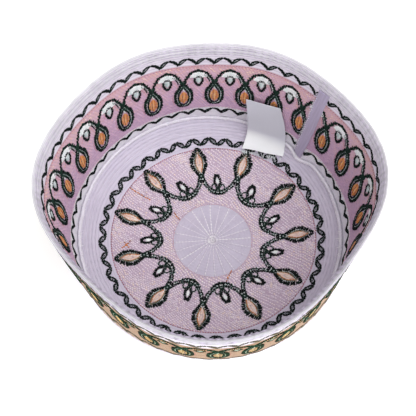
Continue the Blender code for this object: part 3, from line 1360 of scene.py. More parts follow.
def make_hem(colours):
    profile = rounded_box(HEM_THICKNESS, HEM_HEIGHT, HEM_ROUNDING, 4)
    hem = spun_profile("hem_fold", [(OPENING_RADIUS + across, up) for across, up in profile])
    angle, distance, up = round_axis(hem)
    across = distance - OPENING_RADIUS
    height = CAP_HEIGHT - HEM_HEIGHT + up
    ripple = HEM_RIPPLE * np.sin(angle * 61) * np.sin(angle * 17 + 1.0)
    climb = np.clip(up / HEM_HEIGHT, 0.0, 1.0)
    taper = HEM_TAPER * climb**2 * (1.0 - across / HEM_THICKNESS)
    radius = wall_radius(angle, (height - SEAM_HEIGHT) / WALL_HEIGHT)
    radius = radius - HEM_INSET + across + ripple + taper
    move_to(hem, on_cap(angle, radius, height))
    flat_map(hem, angle, OPENING_RADIUS, across + up)
    # The zone runs across the hem from its inner face to its outer one, and places the hem's painted
    # shade.
    add_value(hem, "zone", across / HEM_THICKNESS)
    material = cloth_material("hem_cloth", tuple(colours.hem), hem_rows_and_painted_shade)
    return finish_cloth(hem, [material], "rim_hem")


def make_piping(colours):
    turns = [math.tau * step / RIDGE_SIDES for step in range(RIDGE_SIDES)]
    profile = [
        (CROWN_RADIUS + RIDGE_RADIUS * math.cos(turn), RIDGE_RADIUS * math.sin(turn))
        for turn in turns
    ]
    piping = spun_profile("seam_piping", profile)
    angle, distance, up = round_axis(piping)
    across = distance - CROWN_RADIUS
    step = bell(angle, STEP_ANGLE, STEP_WIDTH) * STEP_HEIGHT
    uneven = RIDGE_RIPPLE * np.sin(angle * 43) * np.sin(angle * 19 + 2.0)
    radius = wall_radius(angle, 0.0) - RIDGE_INSET + across - step + uneven
    move_to(piping, on_cap(angle, radius, SEAM_HEIGHT + RIDGE_RADIUS + up + step))
    flat_map(piping, angle, CROWN_RADIUS, across)
    material = cloth_material("piping_cloth", tuple(colours.piping))
    finish_cloth(piping, [material], "crown_seam")


def grid_of_cloth(name, columns, rows, size):
    """A flat sheet from 0 to 1 both ways, with a map of its real size."""
    start_fresh()
    bpy.ops.mesh.primitive_grid_add(
        x_subdivisions=columns, y_subdivisions=rows, size=1.0, location=(0.5, 0.5, 0.0)
    )
    sheet = bpy.context.object
    sheet.name = name
    settle()
    layer = sheet.data.uv_layers[0]
    layer.name = "cloth"
    uv = np.zeros(len(sheet.data.loops) * 2)
    layer.data.foreach_get("uv", uv)
    layer.data.foreach_set("uv", (uv.reshape(-1, 2) * size).ravel())
    across, along, _ = coordinates(sheet).T
    return sheet, across, along


def make_tape(colours):
    low = SEAM_HEIGHT + 2 * RIDGE_RADIUS + TAPE_FOOT_GAP
    high = CAP_HEIGHT - HEM_HEIGHT - TAPE_TOP_GAP
    tape, across, along = grid_of_cloth("tape_ribbon", 10, 60, (TAPE_WIDTH, high - low))
    height = low + along * (high - low)
    angle = tape_middle(along) + (across - 0.5) * TAPE_WIDTH / OPENING_RADIUS
    wall = wall_radius(angle, (height - SEAM_HEIGHT) / WALL_HEIGHT)
    rolled = TAPE_ROLL * (1.0 - np.abs(2 * across - 1.0) ** 6)
    swell = TAPE_SWELL * np.sin(along * 23) * np.sin(across * 5)
    inset = TAPE_LIFT + TAPE_THICKNESS + rolled + swell
    move_to(tape, on_cap(angle, wall - inset, height))
    face_inwards(tape.data.polygons[0])
    materials = [tape_material(tuple(colours.tape))]
    finish_cloth(tape, materials, "seam_tape", TAPE_THICKNESS)


def make_label(colours):
    label, across, along = grid_of_cloth("label_ribbon", 24, 50, LABEL_MAP)
    table = np.array(LABEL_ROWS)
    places = np.arange(len(table))
    smooth = [smooth_line(np.stack([places, column], axis=1), 10)[:, 1] for column in table.T]
    steps = np.arange(len(smooth[0]))
    values = [np.interp(along * steps[-1], steps, column) for column in smooth]
    left, left_inset, left_height, right, right_inset, right_height = values
    angle = np.radians(left + (right - left) * across)
    height = left_height + (right_height - left_height) * across
    inset = left_inset + (right_inset - left_inset) * across
    inset = inset + LABEL_BOW * np.sin(math.pi * across)
    wall = wall_radius(angle, (height - SEAM_HEIGHT) / WALL_HEIGHT)
    move_to(label, on_cap(angle, wall - inset, height))
    face_inwards(label.data.polygons[-1])
    materials = [label_material(tuple(colours.label))]
    return finish_cloth(label, materials, "label", LABEL_THICKNESS, 60.0)


# The drawings of the embroidery, in millimetres
ARCH = ((0.7, 47.5), (1.2, 51.0), (2.5, 55.0), (4.9, 58.9), (7.4, 61.0), (9.85, 61.5))
INNER_ARCH = ((2.9, 49.5), (3.5, 52.3), (4.9, 55.4), (6.3, 57.3))
ARCH_GAP = ((2.0, 50.2), (2.8, 53.2), (4.3, 56.4), (5.7, 58.3))
LEAF_SIDE = (
    (0.9, 48.5), (2.2, 45.0), (4.3, 40.4), (4.8, 34.6), (4.3, 28.9), (2.8, 24.9), (0.0, 23.1),
)
FUNNEL = (
    (1.6, 51.5), (1.5, 48.5), (3.1, 44.6), (4.7, 40.2), (3.3, 39.4), (1.8, 42.3), (0.0, 43.6),
)
FILL = ((0.0, 41.4), (1.7, 39.0), (2.8, 35.0), (2.5, 30.0), (0.0, 26.0))
CRESCENT = (
    (-5.2, 54.8), (-4.3, 57.8), (-2.4, 59.9), (0.0, 60.4), (2.4, 59.9), (4.3, 57.8), (5.2, 54.8),
    (3.0, 54.0), (0.0, 53.2), (-3.0, 54.0),
)
DROP_SIDE = ((0.0, 55.6), (1.9, 54.4), (2.4, 51.4), (1.4, 48.0), (0.0, 45.8))
DROP_FILL = ((0.0, 54.2), (1.4, 53.4), (1.6, 51.2), (0.0, 48.4))

# Ropes of thick rough stitches, for the wall's outlines
BOLD = {"thread": 0.95, "pitch": 0.78, "tall": 1.3, "rough": 0.36, "slant": 68.0}


def leaf_line(scale):
    """The right side of a leaf on the wall, drawn this much larger round its middle."""
    middle = np.array([0.0, 33.5])
    return middle + (smooth_line(LEAF_SIDE) - middle) * [scale, (1.0 + scale) / 2]


def wall_vine(units):
    """One unit of the wall's vine, round a leaf, by kind of thread."""
    half = WALL_LENGTH / MM / units / 2
    dark = [
        both_sides(rope(smooth_line(ARCH), 2.1, tone=(0.0, 0.6), seed=11, **BOLD)),
        rope(smooth_line(INNER_ARCH), 1.0, thread=0.65, pitch=0.8, tone=(0.1, 0.5), seed=12),
        both_sides(rope(leaf_line(1.08), 2.1, tone=(0.0, 0.5), seed=13, **BOLD)),
        both_sides(rope(leaf_line(0.66), 1.2, tone=(0.0, 0.5), seed=14, **BOLD)),
        satin(both_points(FUNNEL), pitch=0.8, thread=1.0, tone=(0.25, 0.7), seed=15),
        moved(
            both_sides(rope(smooth_line(DROP_SIDE), 1.6, tone=(0.0, 0.45), seed=16, **BOLD)), half
        ),
    ]
    drop = satin(both_points(DROP_FILL), pitch=0.55, thread=0.65, tone=(0.2, 0.9), seed=24)
    light = [
        mirrored(run(leaf_line(0.84), 1.5, 0.2, 0.6, (0.1, 0.7), seed=21)),
        run(leaf_line(0.84), 1.2, 0.7, 0.5, (0.0, 0.5), seed=22),
        moved(drop, half),
        run(((-0.7, 41.2), (0.3, 44.6)), 1.7, 0.1, 0.8, (0.7, 1.0), seed=25),
        run(smooth_line(ARCH_GAP), 1.2, 0.3, 0.6, (0.1, 0.9), seed=26),
    ]
    gold = [
        satin(both_points(FILL), pitch=0.55, longest=6.5, tone=(0.25, 0.9), seed=31),
        run(((0.9, 39.0), (0.6, 27.0)), 2.6, 0.3, 0.5, (0.0, 0.2), seed=32),
        run(((-1.2, 38.0), (-1.0, 30.0)), 2.6, 0.5, 0.4, (0.1, 0.3), seed=33),
        run(((2.0, 37.0), (1.8, 30.0)), 2.2, 0.4, 0.4, (0.1, 0.35), seed=34),
    ]
    rose = [
        run(((3.6, 46.5), (4.6, 50.5), (6.6, 54.6)), 1.2, 0.4, 0.35, (0.4, 1.0), seed=41),
        run(((6.7, 38.0), (7.1, 33.0), (5.8, 26.0)), 1.2, 0.5, 0.35, (0.3, 1.0), seed=42),
        run(((-4.4, 47.5), (-6.8, 51.5)), 1.2, 0.5, 0.35, (0.2, 0.8), seed=43),
    ]
    crescent = [moved(satin(CRESCENT, pitch=0.75, thread=1.0, tone=(0.8, 1.0), seed=23), half)]
    return [np.vstack(kind) for kind in (dark, light, gold, rose, crescent)]


# The two strands of a spindle, and how far they bulge for its width
STRAND = {"thread": 0.8, "pitch": 0.8, "slant": 60, "tone": (0.0, 0.35), "rough": 0.2}
STRAND_BULGE = 0.36


def lens(line, thick, filled, seed):
    """A spindle of thread along a line: one thick rope, or two thinner ones round grey."""
    if filled:
        return rope(
            line, thick, 1.1, 0.8, tone=(0.0, 0.3), rough=0.22, swell=0.5, tall=1.2, seed=seed
        )
    places, headings, shares = walk(line, 0.35)
    aside = np.stack([-headings[:, 1], headings[:, 0]], axis=1)
    bulge = (np.sin(np.pi * shares) * thick * STRAND_BULGE)[:, None] * aside
    return np.vstack(
        [
            rope(places + bulge, thick * 0.5, seed=seed, **STRAND),
            rope(places - bulge, thick * 0.5, seed=seed + 1, **STRAND),
            run(line, 1.1, 0.3, 0.6, (0.55, 0.9), seed=seed + 2),
        ]
    )


def scallop_line(width, height, rising):
    """Half a scallop, from its valley to its round top or back."""
    share = np.linspace(0.0, 1.0, 12)
    up = height * np.sin(share * math.pi / 2) ** 0.8
    if rising:
        return np.stack([share * width, up], axis=1)
    return np.stack([(2.0 - share[::-1]) * width, up[::-1]], axis=1)


def wall_border(scallops, foot, height, start):
    """A row of scallops round the wall, its first one moved along by start of them."""
    spacing = WALL_LENGTH / MM / scallops
    rising = lens(scallop_line(spacing / 2, height, True), 2.4, True, 51)
    falling = lens(scallop_line(spacing / 2, height, False), 2.6, False, 54)
    unit = moved(np.vstack([rising, falling]), start * spacing, foot)
    return repeated(unit, scallops, spacing, 0.12)


# The stitches of the wall's band: how far apart along a row, how wide and how high
GRAIN_STEP = 2.1
GRAIN_WIDTH = 0.85
GRAIN_HEIGHT = 0.4


def band_grain(pitch):
    """The band's ground inside the wall: close rows of short stitches."""
    dice = np.random.default_rng(27)
    heights = np.arange(BAND_FOOT + 0.6, BAND_TOP - 1.0, pitch)
    along = np.arange(0.0, WALL_LENGTH / MM, GRAIN_STEP)
    row, place = np.meshgrid(heights, along, indexing="ij")
    place = place + (np.arange(len(heights)) % 3)[:, None] * GRAIN_STEP / 3
    sway = 0.5 * np.sin(place / 7.0 + row / 4.0) + 0.3 * np.sin(place / 3.1 - row / 6.0)
    middle = np.stack([place.ravel(), (row + sway).ravel()], axis=1)
    middle = middle + dice.normal(0.0, 0.08, middle.shape)
    reach = np.array([GRAIN_STEP / 2, 0.0]) + dice.normal(0.0, 0.12, middle.shape)
    climb = np.clip((middle[:, 1] - BAND_FOOT) / (BAND_TOP - BAND_FOOT), 0.0, 1.0)
    patches = 0.14 * np.sin(middle[:, 0] / 5.3 + 2.0 * climb) * np.sin(middle[:, 0] / 17.0)
    tones = 0.22 + 0.5 * climb**1.5 + patches + dice.normal(0.0, 0.17, len(middle))
    tones = np.clip(tones, 0.0, 1.0)
    return drawing(middle - reach, middle + reach, GRAIN_WIDTH, GRAIN_HEIGHT, tones)


def long_runs(length, heights, stitch, gap, thickness, tone, seed, drift=0.06):
    """Running stitches along whole lines at these heights."""
    return np.vstack(
        [
            run(((0.0, height), (length, height)), stitch, gap, thickness, tone, drift, seed + row)
            for row, height in enumerate(heights)
        ]
    )


CROWN_LEAF = (
    (0.0, 64.0), (1.1, 61.9), (3.0, 58.4), (4.2, 54.7), (3.8, 50.8), (2.1, 47.4), (0.3, 45.2),
)
CROWN_LIGHT = ((1.0, 60.0), (2.5, 57.0), (3.1, 54.0), (2.2, 50.0))
CROWN_OLIVE = ((0.3, 61.0), (1.7, 57.8), (2.5, 54.2), (2.0, 50.6), (0.3, 47.2))
CROWN_FILL = (
    (0.0, 60.0), (0.9, 58.0), (1.8, 55.0), (1.6, 51.6), (0.7, 48.8), (0.0, 47.8),
)
CROWN_ARC = (
    (0.3, 45.6), (1.3, 42.0), (3.1, 38.5), (6.0, 35.4), (9.8, 33.5), (14.28, 32.8),
)
CROWN_LOOP = ((0.0, 45.6), (1.7, 43.9), (2.7, 41.0), (1.8, 38.2), (0.0, 36.0))
CROWN_LOOP_FILL = ((0.0, 43.4), (1.0, 42.2), (1.2, 40.4), (0.0, 38.4))
CROWN_KNOT = ((-2.6, 33.2), (2.6, 33.2), (1.3, 37.2), (-1.3, 37.2))
CROWN_LOBE = ((0.8, 35.6), (2.5, 38.2), (4.6, 38.8), (6.4, 36.4))
CROWN_STALK = ((-1.6, 47.2), (1.6, 47.2), (2.2, 42.4), (-2.2, 42.4))

# How far the loops between the leaves lean over, from which height up
LOOP_LEAN = 0.22
LOOP_FOOT = 36.0

# Ropes of rough stitches, and of wilder ones, for the crown's outlines
ROUGH = {"rough": 0.24, "slant": 80.0, "thread": 0.8, "pitch": 0.6}
WILD = {"rough": 0.38, "slant": 70.0, "thread": 0.85, "pitch": 0.62}


def leaning(rows):
    """Leans a loop over to one side from its foot."""
    leant = rows.copy()
    for axis in (0, 2):
        leant[:, axis] += LOOP_LEAN * (rows[:, axis + 1] - LOOP_FOOT)
    return leant


def crown_vine():
    """One unit of the crown's vine, round a leaf, by kind of thread."""
    half = math.tau * VINE_REFERENCE / len(LEAVES) / 2
    leaf = smooth_line(CROWN_LEAF)
    arc = smooth_line(CROWN_ARC)
    lower_arc = arc + [-0.4, -0.9]
    upper_arc = arc + [0.4, 1.0]
    lobe = smooth_line(CROWN_LOBE)
    loop = both_sides(rope(smooth_line(CROWN_LOOP), 2.4, tone=(0.0, 0.4), seed=65, **ROUGH))
    loop_fill = satin(both_points(CROWN_LOOP_FILL), pitch=0.5, tone=(0.6, 1.0), seed=74)
    knot = satin(CROWN_KNOT, pitch=0.6, thread=0.8, tone=(0.1, 0.65), seed=66)
    dark = [
        both_sides(rope(leaf, 2.7, tone=(0.0, 0.45), swell=0.35, seed=61, **ROUGH)),
        both_sides(rope(lower_arc, 2.1, tone=(0.0, 0.55), seed=63, **WILD)),
        both_sides(rope(upper_arc, 2.0, tone=(0.0, 0.55), seed=64, **WILD)),
        moved(leaning(loop), half),
        moved(both_sides(rope(lobe, 1.4, tone=(0.0, 0.6), seed=68, **ROUGH)), half),
        moved(knot, half),
        satin(CROWN_STALK, pitch=0.6, thread=0.8, tone=(0.3, 0.75), seed=67),
    ]
    light = [
        both_sides(run(smooth_line(CROWN_LIGHT), 0.9, 0.3, 0.5, (0.1, 0.9), seed=71)),
        both_sides(run(arc, 1.1, 0.8, 0.8, (0.2, 1.0), 0.5, seed=73)),
        both_sides(run(lower_arc, 0.9, 1.6, 0.5, (0.1, 0.9), 0.35, seed=77)),
        both_sides(run(upper_arc, 0.9, 1.5, 0.5, (0.1, 0.9), 0.35, seed=78)),
        moved(leaning(loop_fill), half),
        run(((-1.2, 46.2), (0.0, 48.0), (1.2, 46.4)), 1.3, 0.1, 0.55, (0.6, 1.0), seed=75),
        moved(both_sides(run(lobe, 1.0, 0.8, 0.5, (0.4, 1.0), 0.3, seed=76)), half),
    ]
    cream = [
        satin(both_points(CROWN_FILL), pitch=0.5, longest=6.0, tone=(0.65, 1.0), seed=81),
        mirrored(run(smooth_line(CROWN_FILL), 1.8, 0.1, 0.9, (0.0, 0.4), seed=82)),
        run(smooth_line(CROWN_FILL[1:5]), 1.4, 0.3, 0.6, (0.1, 0.5), seed=83),
    ]
    edge = rope(smooth_line(CROWN_OLIVE), 1.5, thread=0.6, pitch=0.6, tone=(0.1, 0.8), seed=80)
    return [np.vstack(kind) for kind in (dark, light, cream, [both_sides(edge)])]


# How far the plaited line swings to each side, how thick it is, and where its first
# wave starts
PLAIT_SWING = 2.2
PLAIT_WIDTH = 3.0
PLAIT_START = 0.444


def plait(waves):
    """The plaited line round the crown: spindles that step in and out."""
    spacing = math.tau * PLAIT_RADIUS / MM / waves
    steps = []
    for turn, swing in enumerate((-PLAIT_SWING, PLAIT_SWING)):
        start = np.array([turn * spacing / 2, swing])
        end = np.array([(turn + 1) * spacing / 2, -swing])
        line = start + (end - start) * np.linspace(0.0, 1.0, 8)[:, None]
        steps.append(lens(line, PLAIT_WIDTH, False, 91 + 3 * turn))
    return moved(repeated(np.vstack(steps), waves, spacing, 0.12), PLAIT_START * spacing)


# The stitches of the ridged zone: their heading, how far apart along a row, how wide
# and high, how steeply they may turn, and how large the patches are that shift them
RIDGE_HEADING = -39.0
RIDGE_STEP = 1.5
RIDGE_WIDTH = 1.14
RIDGE_HEIGHT = 0.75
STEEPEST = 0.8
PATCH = 8.5


def ridges(pitch):
    """The crown's ridged zone: wavy rows of stitches that break off here and there."""
    dice = np.random.default_rng(7)
    breaks = dice.uniform(-0.5, 0.5, (40, 40))
    turn = math.radians(RIDGE_HEADING)
    along = np.array([math.cos(turn), math.sin(turn)])
    aside = np.array([-along[1], along[0]])
    end = ROSE_RADIUS / MM + 6
    rows = np.arange(-end, end, pitch)
    row, step = np.meshgrid(rows, np.arange(-end, end, RIDGE_STEP), indexing="ij")
    step = step + (np.arange(len(step)) % 3)[:, None] * RIDGE_STEP / 3
    base = row[..., None] * aside + step[..., None] * along

    def bent(points):
        x = points[..., 0]
        y = points[..., 1]
        column = (x / PATCH + 0.5 * np.sin(y / 6.0) + 20).astype(int)
        line = (y / PATCH + 0.5 * np.sin(x / 7.0) + 20).astype(int)
        sway = 1.5 * np.sin(x / 6.5 + 1.2 * np.sin(y / 9.0))
        return sway + 1.1 * np.sin(y / 5.2 + x / 13.0) + breaks[column, line] * pitch

    middle = base + bent(base)[..., None] * aside
    ahead = bent(base + along * RIDGE_STEP / 2)
    behind = bent(base - along * RIDGE_STEP / 2)
    tilt = np.clip((ahead - behind) / RIDGE_STEP, -STEEPEST, STEEPEST)
    reach = (along + tilt[..., None] * aside) * RIDGE_STEP * 0.62
    radius = np.hypot(middle[..., 0], middle[..., 1])
    angle = np.arctan2(middle[..., 1], middle[..., 0])
    edge = (ROSE_RADIUS + stand_out(ROSE_WAVES, angle)) / MM
    kept = (radius > MEDALLION_RADIUS / MM + 0.6) & (radius < edge - 0.35)
    middle = middle[kept]
    reach = reach[kept]
    warm = 0.44 + 0.12 * np.sin(middle[:, 0] / 11) * np.sin(middle[:, 1] / 9)
    warm = warm + 0.25 * np.exp(-(((radius[kept] - 27) / 4) ** 2))
    warm = warm + 0.18 * np.exp(-(((radius[kept] - 61) / 3) ** 2))
    tones = np.clip(warm + dice.normal(0.0, 0.2, len(middle)), 0.0, 1.0)
    middle = middle + dice.normal(0.0, 0.06, middle.shape)
    return drawing(middle - reach, middle + reach, RIDGE_WIDTH, RIDGE_HEIGHT, tones)


# Loose threads that lie on the crown, each from one end to the other
LOOSE_THREADS = (
    ((-54.2, 34.5), (-40.6, 27.6)), ((-25.0, 19.0), (-21.0, 14.1)), ((12.0, -20.6), (8.3, -28.3)),
    ((-57.4, -7.3), (-52.0, -1.3)), ((-56.5, -2.5), (-52.5, -6.0)),
)

# Which of the crown's stitched lines are brightest, and how many spokes the knot has
BRIGHT_LINES = (0, 6, 8, 14)
SPOKES = 18


def rosette(lines):
    """The stitched lines of the crown's middle and the knot where they meet."""
    dice = np.random.default_rng(17)
    around = math.tau * VINE_REFERENCE
    rows = []
    for line in range(lines):
        across = (line + 0.25) / lines * around
        strong = dice.uniform(0.3, 0.8)
        if line in BRIGHT_LINES:
            strong = 1.0
        bend = dice.uniform(-1.2, 1.2)
        path = smooth_line([(across, 1.6), (across + bend, 12.0), (across, 24.4)])
        tone = (0.6 + 0.3 * strong, 0.8 + 0.2 * strong)
        rows.append(run(path, 3.4, -1.4, 0.4 + 0.5 * strong, tone, 0.04, seed=100 + line))
    for spoke in range(SPOKES):
        across = spoke / SPOKES * around
        path = ((across, 0.2), (across, 1.9))
        rows.append(run(path, 1.6, 0.1, 0.5, (0.85, 1.0), 0.02, seed=200 + spoke))
    return np.vstack(rows)


# The ends of the label's cut edge, as seen from above
FRAY_START = np.array([19.6, 61.6])
FRAY_END = np.array([45.2, 54.2])


def frayed_end(threads=56):
    """Loose threads at the label's cut end."""
    dice = np.random.default_rng(37)
    start = FRAY_START + dice.uniform(0.0, 1.0, (threads, 1)) * (FRAY_END - FRAY_START)
    reach = dice.normal((-0.6, -1.9), (0.8, 0.7), (threads, 2))
    tones = dice.uniform(0.5, 1.0, threads)
    return drawing(start - reach * 0.4, start + reach, 0.32, 0.25, tones)


# The foot, the height and the start of each border inside the wall
BORDERS = ((67.9, 5.4, 0.0), (8.5, 7.4, 0.53))

# The height, the gaps, the width, the tone and the seed of each red line
RED_LINES = (
    (65.8, 0.15, 0.5, (0.0, 0.5), 401),
    (64.4, 0.6, 0.3, (0.5, 1.0), 402),
    (17.7, 0.5, 0.3, (0.4, 1.0), 403),
)

# Where quilted rows run: outside the crown's plait, at the wall's foot and on the hem
CROWN_ROWS = (3.4, 5.6, 7.8, 10.0)
FOOT_ROWS = (2.4, 4.8)
HEM_ROWS = (77.4, 79.1, 80.8, 82.2)

# The wall's threads on both sides, and how high they lie, by kind
WALL_THREADS = {
    INSIDE: ("dark_thread", "light_thread", "gold_thread", "rose_thread", "light_thread"),
    OUTSIDE: ("green_thread", "mint_thread", "yellow_thread", "rose_thread", "satin_thread"),
}
WALL_KINDS = ("vine", "lights", "leaves", "sparks", "crescents")
WALL_LIFTS = (0.3, 0.4, 0.3, 0.1, 0.2)

# Outside, the leaves' fills are wider and the scallops' threads thinner
WIDER = np.array([1.45, 1.0, 1.45, 1.0, 1.0, 1.0, 1.0])
THINNER = np.array([1.0, 1.0, 1.0, 1.0, 0.55, 0.7, 1.0])


# Operators
class CAP_OT_wall(bpy.types.Operator):
    """Makes the wall's cloth and its folded hem"""

    bl_idname = "cap.wall"
    bl_label = "Wall cloth and hem"

    def execute(self, context):
        colours = context.scene.cap_colours
        wall = make_wall_cloth(colours)
        hem = make_hem(colours)
        return {"FINISHED"}


class CAP_OT_crown(bpy.types.Operator):
    """Makes the crown's cloth"""

    bl_idname = "cap.crown"
    bl_label = "Crown cloth"

    def execute(self, context):
        scene = context.scene
        crown = make_crown_cloth(scene.cap_colours, scene.cap_sizes.medallion_lines)
        return {"FINISHED"}


class CAP_OT_trims(bpy.types.Operator):
    """Makes the seam's ridge, the tape and the label"""

    bl_idname = "cap.trims"
    bl_label = "Piping, tape and label"

    def execute(self, context):
        colours = context.scene.cap_colours
        make_piping(colours)
        make_tape(colours)
        around = math.tau * CROWN_RADIUS / MM
        line = ((0.0, 0.0), (around, 0.0))
        fuzz = rope(line, 3.2, 0.55, 0.5, tone=(0.6, 1.0), rough=0.7, seed=501)
        sew("seam_fuzz", fuzz, seam_face(), "tonal_thread", -0.2, POINTED)
        line = [(3.9 + 0.9 * (-1) ** step, 4.0 + 1.3 * step) for step in range(54)]
        zigzag = run(line, 1.9, 0.1, 0.6, (0.5, 1.0), seed=502)
        sew("tape_zigzag", zigzag, tape_face(), "tonal_thread", 0.3, POINTED)
        label = make_label(colours)
        sew("label_fray", frayed_end(), plane_face(INSIDE), "light_thread",
            1.4, POINTED)
        return {"FINISHED"}


class CAP_OT_crown_ground(bpy.types.Operator):
    """Sews the crown's ridges, rings and quilted rows"""

    bl_idname = "cap.crown_ground"
    bl_label = "Crown ground stitches"

    def execute(self, context):
        sizes = context.scene.cap_sizes
        reference = VINE_REFERENCE * MM
        around = math.tau * VINE_REFERENCE
        plane = plane_face(INSIDE)
        inside = ring_face(INSIDE, reference, 0.0, ())
        outside = ring_face(OUTSIDE, reference, 0.0, ())
        border = ring_face(INSIDE, reference, ROSE_RADIUS, ROSE_WAVES)
        quilting = ring_face(INSIDE, reference, PLAIT_RADIUS, SEAM_WAVES)
        middle = rosette(sizes.medallion_lines)
        loose = [
            run(line, 1.3, 0.1, 0.75, (0.05, 0.5), 0.2, 330 + index)
            for index, line in enumerate(LOOSE_THREADS)
        ]
        inner = (MEDALLION_RADIUS / MM,)
        inner_ring = long_runs(around, inner, 1.3, 0.9, 0.3, (0.1, 0.8), 301)
        rose_ring = long_runs(around, (0.0,), 0.9, 0.35, 0.55, (0.0, 0.5), 302)
        rows = long_runs(around, CROWN_ROWS, 4.6, -1.0, 0.5, (0.42, 0.62), 310)
        for name, drawn, face, thread, lift, kind in (
            ("ridges", ridges(sizes.ridge_pitch / MM), plane, "ridge_thread", 0.05, POINTED),
            ("loose_threads", np.vstack(loose), plane, "gold_thread", 0.45, BLUNT),
            ("rosette_inside", middle, inside, "tonal_thread", 0.25, POINTED),
            ("rosette_outside", middle, outside, "tonal_thread", 0.0, POINTED),
            ("inner_ring", inner_ring, inside, "rose_thread", 0.12, BLUNT),
            ("rose_ring", rose_ring, border, "rose_thread", 0.3, BLUNT),
            ("quilting", rows, quilting, "tonal_thread", 0.0, POINTED),
        ):
            sew(f"crown_{name}", drawn, face, thread, lift, kind)
        return {"FINISHED"}


class CAP_OT_crown_vine(bpy.types.Operator):
    """Sews the crown's vine and plaited line, which show on both faces"""

    bl_idname = "cap.crown_vine"
    bl_label = "Crown vine and plait"

    def execute(self, context):
        dark, light, cream, olive = crown_vine()
        spacing = math.tau * VINE_REFERENCE / len(LEAVES)
        weaving = plait(context.scene.cap_sizes.plait_waves)
        for side in (INSIDE, OUTSIDE):
            face = vine_face(side)
            kind, share = (BLUNT, 1.0) if side == INSIDE else (POINTED, 0.0)
            for name, rows, thread, lift in (
                ("vine", dark, "dark_thread", 0.35),
                ("lights", light, "light_thread", 0.45),
                ("leaves", cream, "cream_thread", 0.35),
                ("leaf_edges", olive, "olive_thread", 0.25),
            ):
                copies = repeated(rows, len(LEAVES), spacing, 0.2)
                sew(f"crown_{name}_{side}", copies, face, thread,
                    lift * share, kind)
            line = ring_face(side, PLAIT_RADIUS, PLAIT_RADIUS, PLAIT_WAVES)
            sew(f"crown_plait_{side}", weaving, line, "dark_thread",
                0.2 * share, kind)
        return {"FINISHED"}


class CAP_OT_wall_vine(bpy.types.Operator):
    """Sews the wall's vine, leaves and drops, which show on both faces"""

    bl_idname = "cap.wall_vine"
    bl_label = "Wall vine"

    def execute(self, context):
        sizes = context.scene.cap_sizes
        units = sizes.wall_units
        spacing = WALL_LENGTH / MM / units
        unit = wall_vine(units)
        for side in (INSIDE, OUTSIDE):
            face = wall_face(side)
            for name, rows, thread, lift in zip(WALL_KINDS, unit, WALL_THREADS[side], WALL_LIFTS):
                if side == OUTSIDE and name == "leaves":
                    rows = rows * WIDER
                copies = repeated(rows, units, spacing, 0.15)
                if side == OUTSIDE:
                    copies = moved(copies, OUTSIDE_SHIFT)
                sew(f"wall_{name}_{side}", copies, face, thread, lift)
        sew("wall_band_grain", band_grain(sizes.band_pitch / MM), wall_face(INSIDE),
            "band_thread", 0.0, POINTED)
        return {"FINISHED"}


class CAP_OT_wall_borders(bpy.types.Operator):
    """Sews the wall's scalloped borders and its quilted rows"""

    bl_idname = "cap.wall_borders"
    bl_label = "Wall borders"

    def execute(self, context):
        scallops = context.scene.cap_sizes.scallops
        around = WALL_LENGTH / MM
        inside = np.vstack([wall_border(scallops, *border) for border in BORDERS])
        outside = moved(inside * THINNER, 0.0, SATIN_TOP - BAND_TOP)
        reds = [long_runs(around, (height,), 1.6, *line) for height, *line in RED_LINES]
        foot_rows = long_runs(around, FOOT_ROWS, 5.0, -1.2, 0.5, (0.42, 0.62), 410)
        hem_rows = long_runs(around, HEM_ROWS, 5.4, -1.6, 0.6, (0.05, 0.3), 420)
        for side, borders, thread in (
            (INSIDE, inside, "dark_thread"),
            (OUTSIDE, outside, "olive_thread"),
        ):
            face = wall_face(side)
            sew(f"wall_borders_{side}", borders, face, thread, 0.2)
            if side == INSIDE:
                sew("wall_red_lines", np.vstack(reds), face, "rose_thread",
                    0.12, POINTED)
            sew(f"wall_quilting_{side}", foot_rows, face, "tonal_thread",
                0.0, POINTED)
            sew(f"hem_quilting_{side}", hem_rows, hem_face(side), "tonal_thread",
                0.0, POINTED)
        return {"FINISHED"}


def add_light(lamp, power):
    """A square soft light that faces the cap."""
    turn = math.radians(lamp.turn)
    rise = math.radians(lamp.rise)
    location = (
        LAMP_DISTANCE * math.cos(rise) * math.cos(turn),
        LAMP_DISTANCE * math.cos(rise) * math.sin(turn),
        LAMP_DISTANCE * math.sin(rise) + CAP_HEIGHT / 2,
    )
    rotation = (math.pi / 2 - rise, 0.0, turn + math.pi / 2)
    bpy.ops.object.light_add(type="AREA", location=location, rotation=rotation)
    light = bpy.context.object
    light.name = f"studio_{lamp.name}"
    light.data.size = lamp.size
    light.data.energy = power


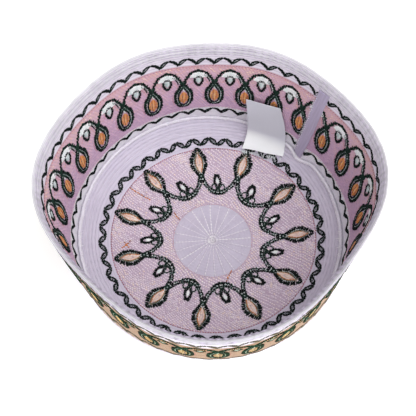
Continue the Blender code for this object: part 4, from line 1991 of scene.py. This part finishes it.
class CAP_OT_studio(bpy.types.Operator):
    """Makes the floor, the lights and the camera"""

    bl_idname = "cap.studio"
    bl_label = "Studio"

    def execute(self, context):
        scene = context.scene
        studio = scene.cap_studio
        start_fresh()
        bpy.ops.mesh.primitive_plane_add(size=FLOOR_SIZE, location=(0.0, 0.0, 0.0))
        floor = context.object
        floor.name = "studio_floor"
        material, tree, shader = new_material("studio_paper", 0.9, 0.0)
        pale = ramp(tree, noise(tree, 3.0), [(0.3, grey(0.92)), (0.7, grey(0.95))])
        feed(tree, pale, shader.inputs["Base Color"])
        shader.inputs["Emission Color"].default_value = WHITE
        shader.inputs["Emission Strength"].default_value = FLOOR_GLOW
        floor.data.materials.append(material)
        for lamp in LAMPS:
            add_light(lamp, getattr(studio, f"{lamp.name}_power"))
        world = bpy.data.worlds.new("surroundings")
        world.use_nodes = True
        background = world.node_tree.nodes["Background"]
        background.inputs["Color"].default_value = WHITE
        background.inputs["Strength"].default_value = studio.sky
        scene.world = world
        bpy.ops.object.camera_add(location=CAMERA_PLACE, rotation=(studio.tilt, 0.0, 0.0))
        camera = context.object
        camera.name = "studio_camera"
        camera.data.lens = studio.focal_length
        camera.data.sensor_width = SENSOR_WIDTH
        camera.data.clip_start = CLIP_START
        scene.camera = camera
        scene.view_settings.view_transform = "Standard"
        return {"FINISHED"}


class CAP_PT_panel(bpy.types.Panel):
    """Lists the cap's pieces and settings"""

    bl_label = "Prayer cap"
    bl_idname = "CAP_PT_panel"
    bl_space_type = "VIEW_3D"
    bl_region_type = "UI"
    bl_category = "Cap"

    def draw(self, context):
        scene = context.scene
        for group in (scene.cap_sizes, scene.cap_colours, scene.cap_studio):
            box = self.layout.box()
            for name in group.bl_rna.properties.keys():
                if name not in ("rna_type", "name"):
                    box.prop(group, name)
        for operator in STEPS:
            self.layout.operator(operator)


STEPS = (
    "cap.wall",
    "cap.crown",
    "cap.trims",
    "cap.crown_ground",
    "cap.crown_vine",
    "cap.wall_vine",
    "cap.wall_borders",
    "cap.studio",
)
CLASSES = (
    CapSizes,
    CapColours,
    CapStudio,
    CAP_OT_crown,
    CAP_OT_wall,
    CAP_OT_trims,
    CAP_OT_crown_ground,
    CAP_OT_crown_vine,
    CAP_OT_wall_vine,
    CAP_OT_wall_borders,
    CAP_OT_studio,
    CAP_PT_panel,
)


def register():
    for cls in CLASSES:
        bpy.utils.register_class(cls)
    bpy.types.Scene.cap_sizes = bpy.props.PointerProperty(type=CapSizes)
    bpy.types.Scene.cap_colours = bpy.props.PointerProperty(type=CapColours)
    bpy.types.Scene.cap_studio = bpy.props.PointerProperty(type=CapStudio)


def unregister():
    del bpy.types.Scene.cap_studio
    del bpy.types.Scene.cap_colours
    del bpy.types.Scene.cap_sizes
    for cls in reversed(CLASSES):
        bpy.utils.unregister_class(cls)


def main():
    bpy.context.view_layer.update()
    register()
    for step in STEPS:
        family, action = step.split(".")
        getattr(getattr(bpy.ops, family), action)()


if __name__ == "__main__":
    main()
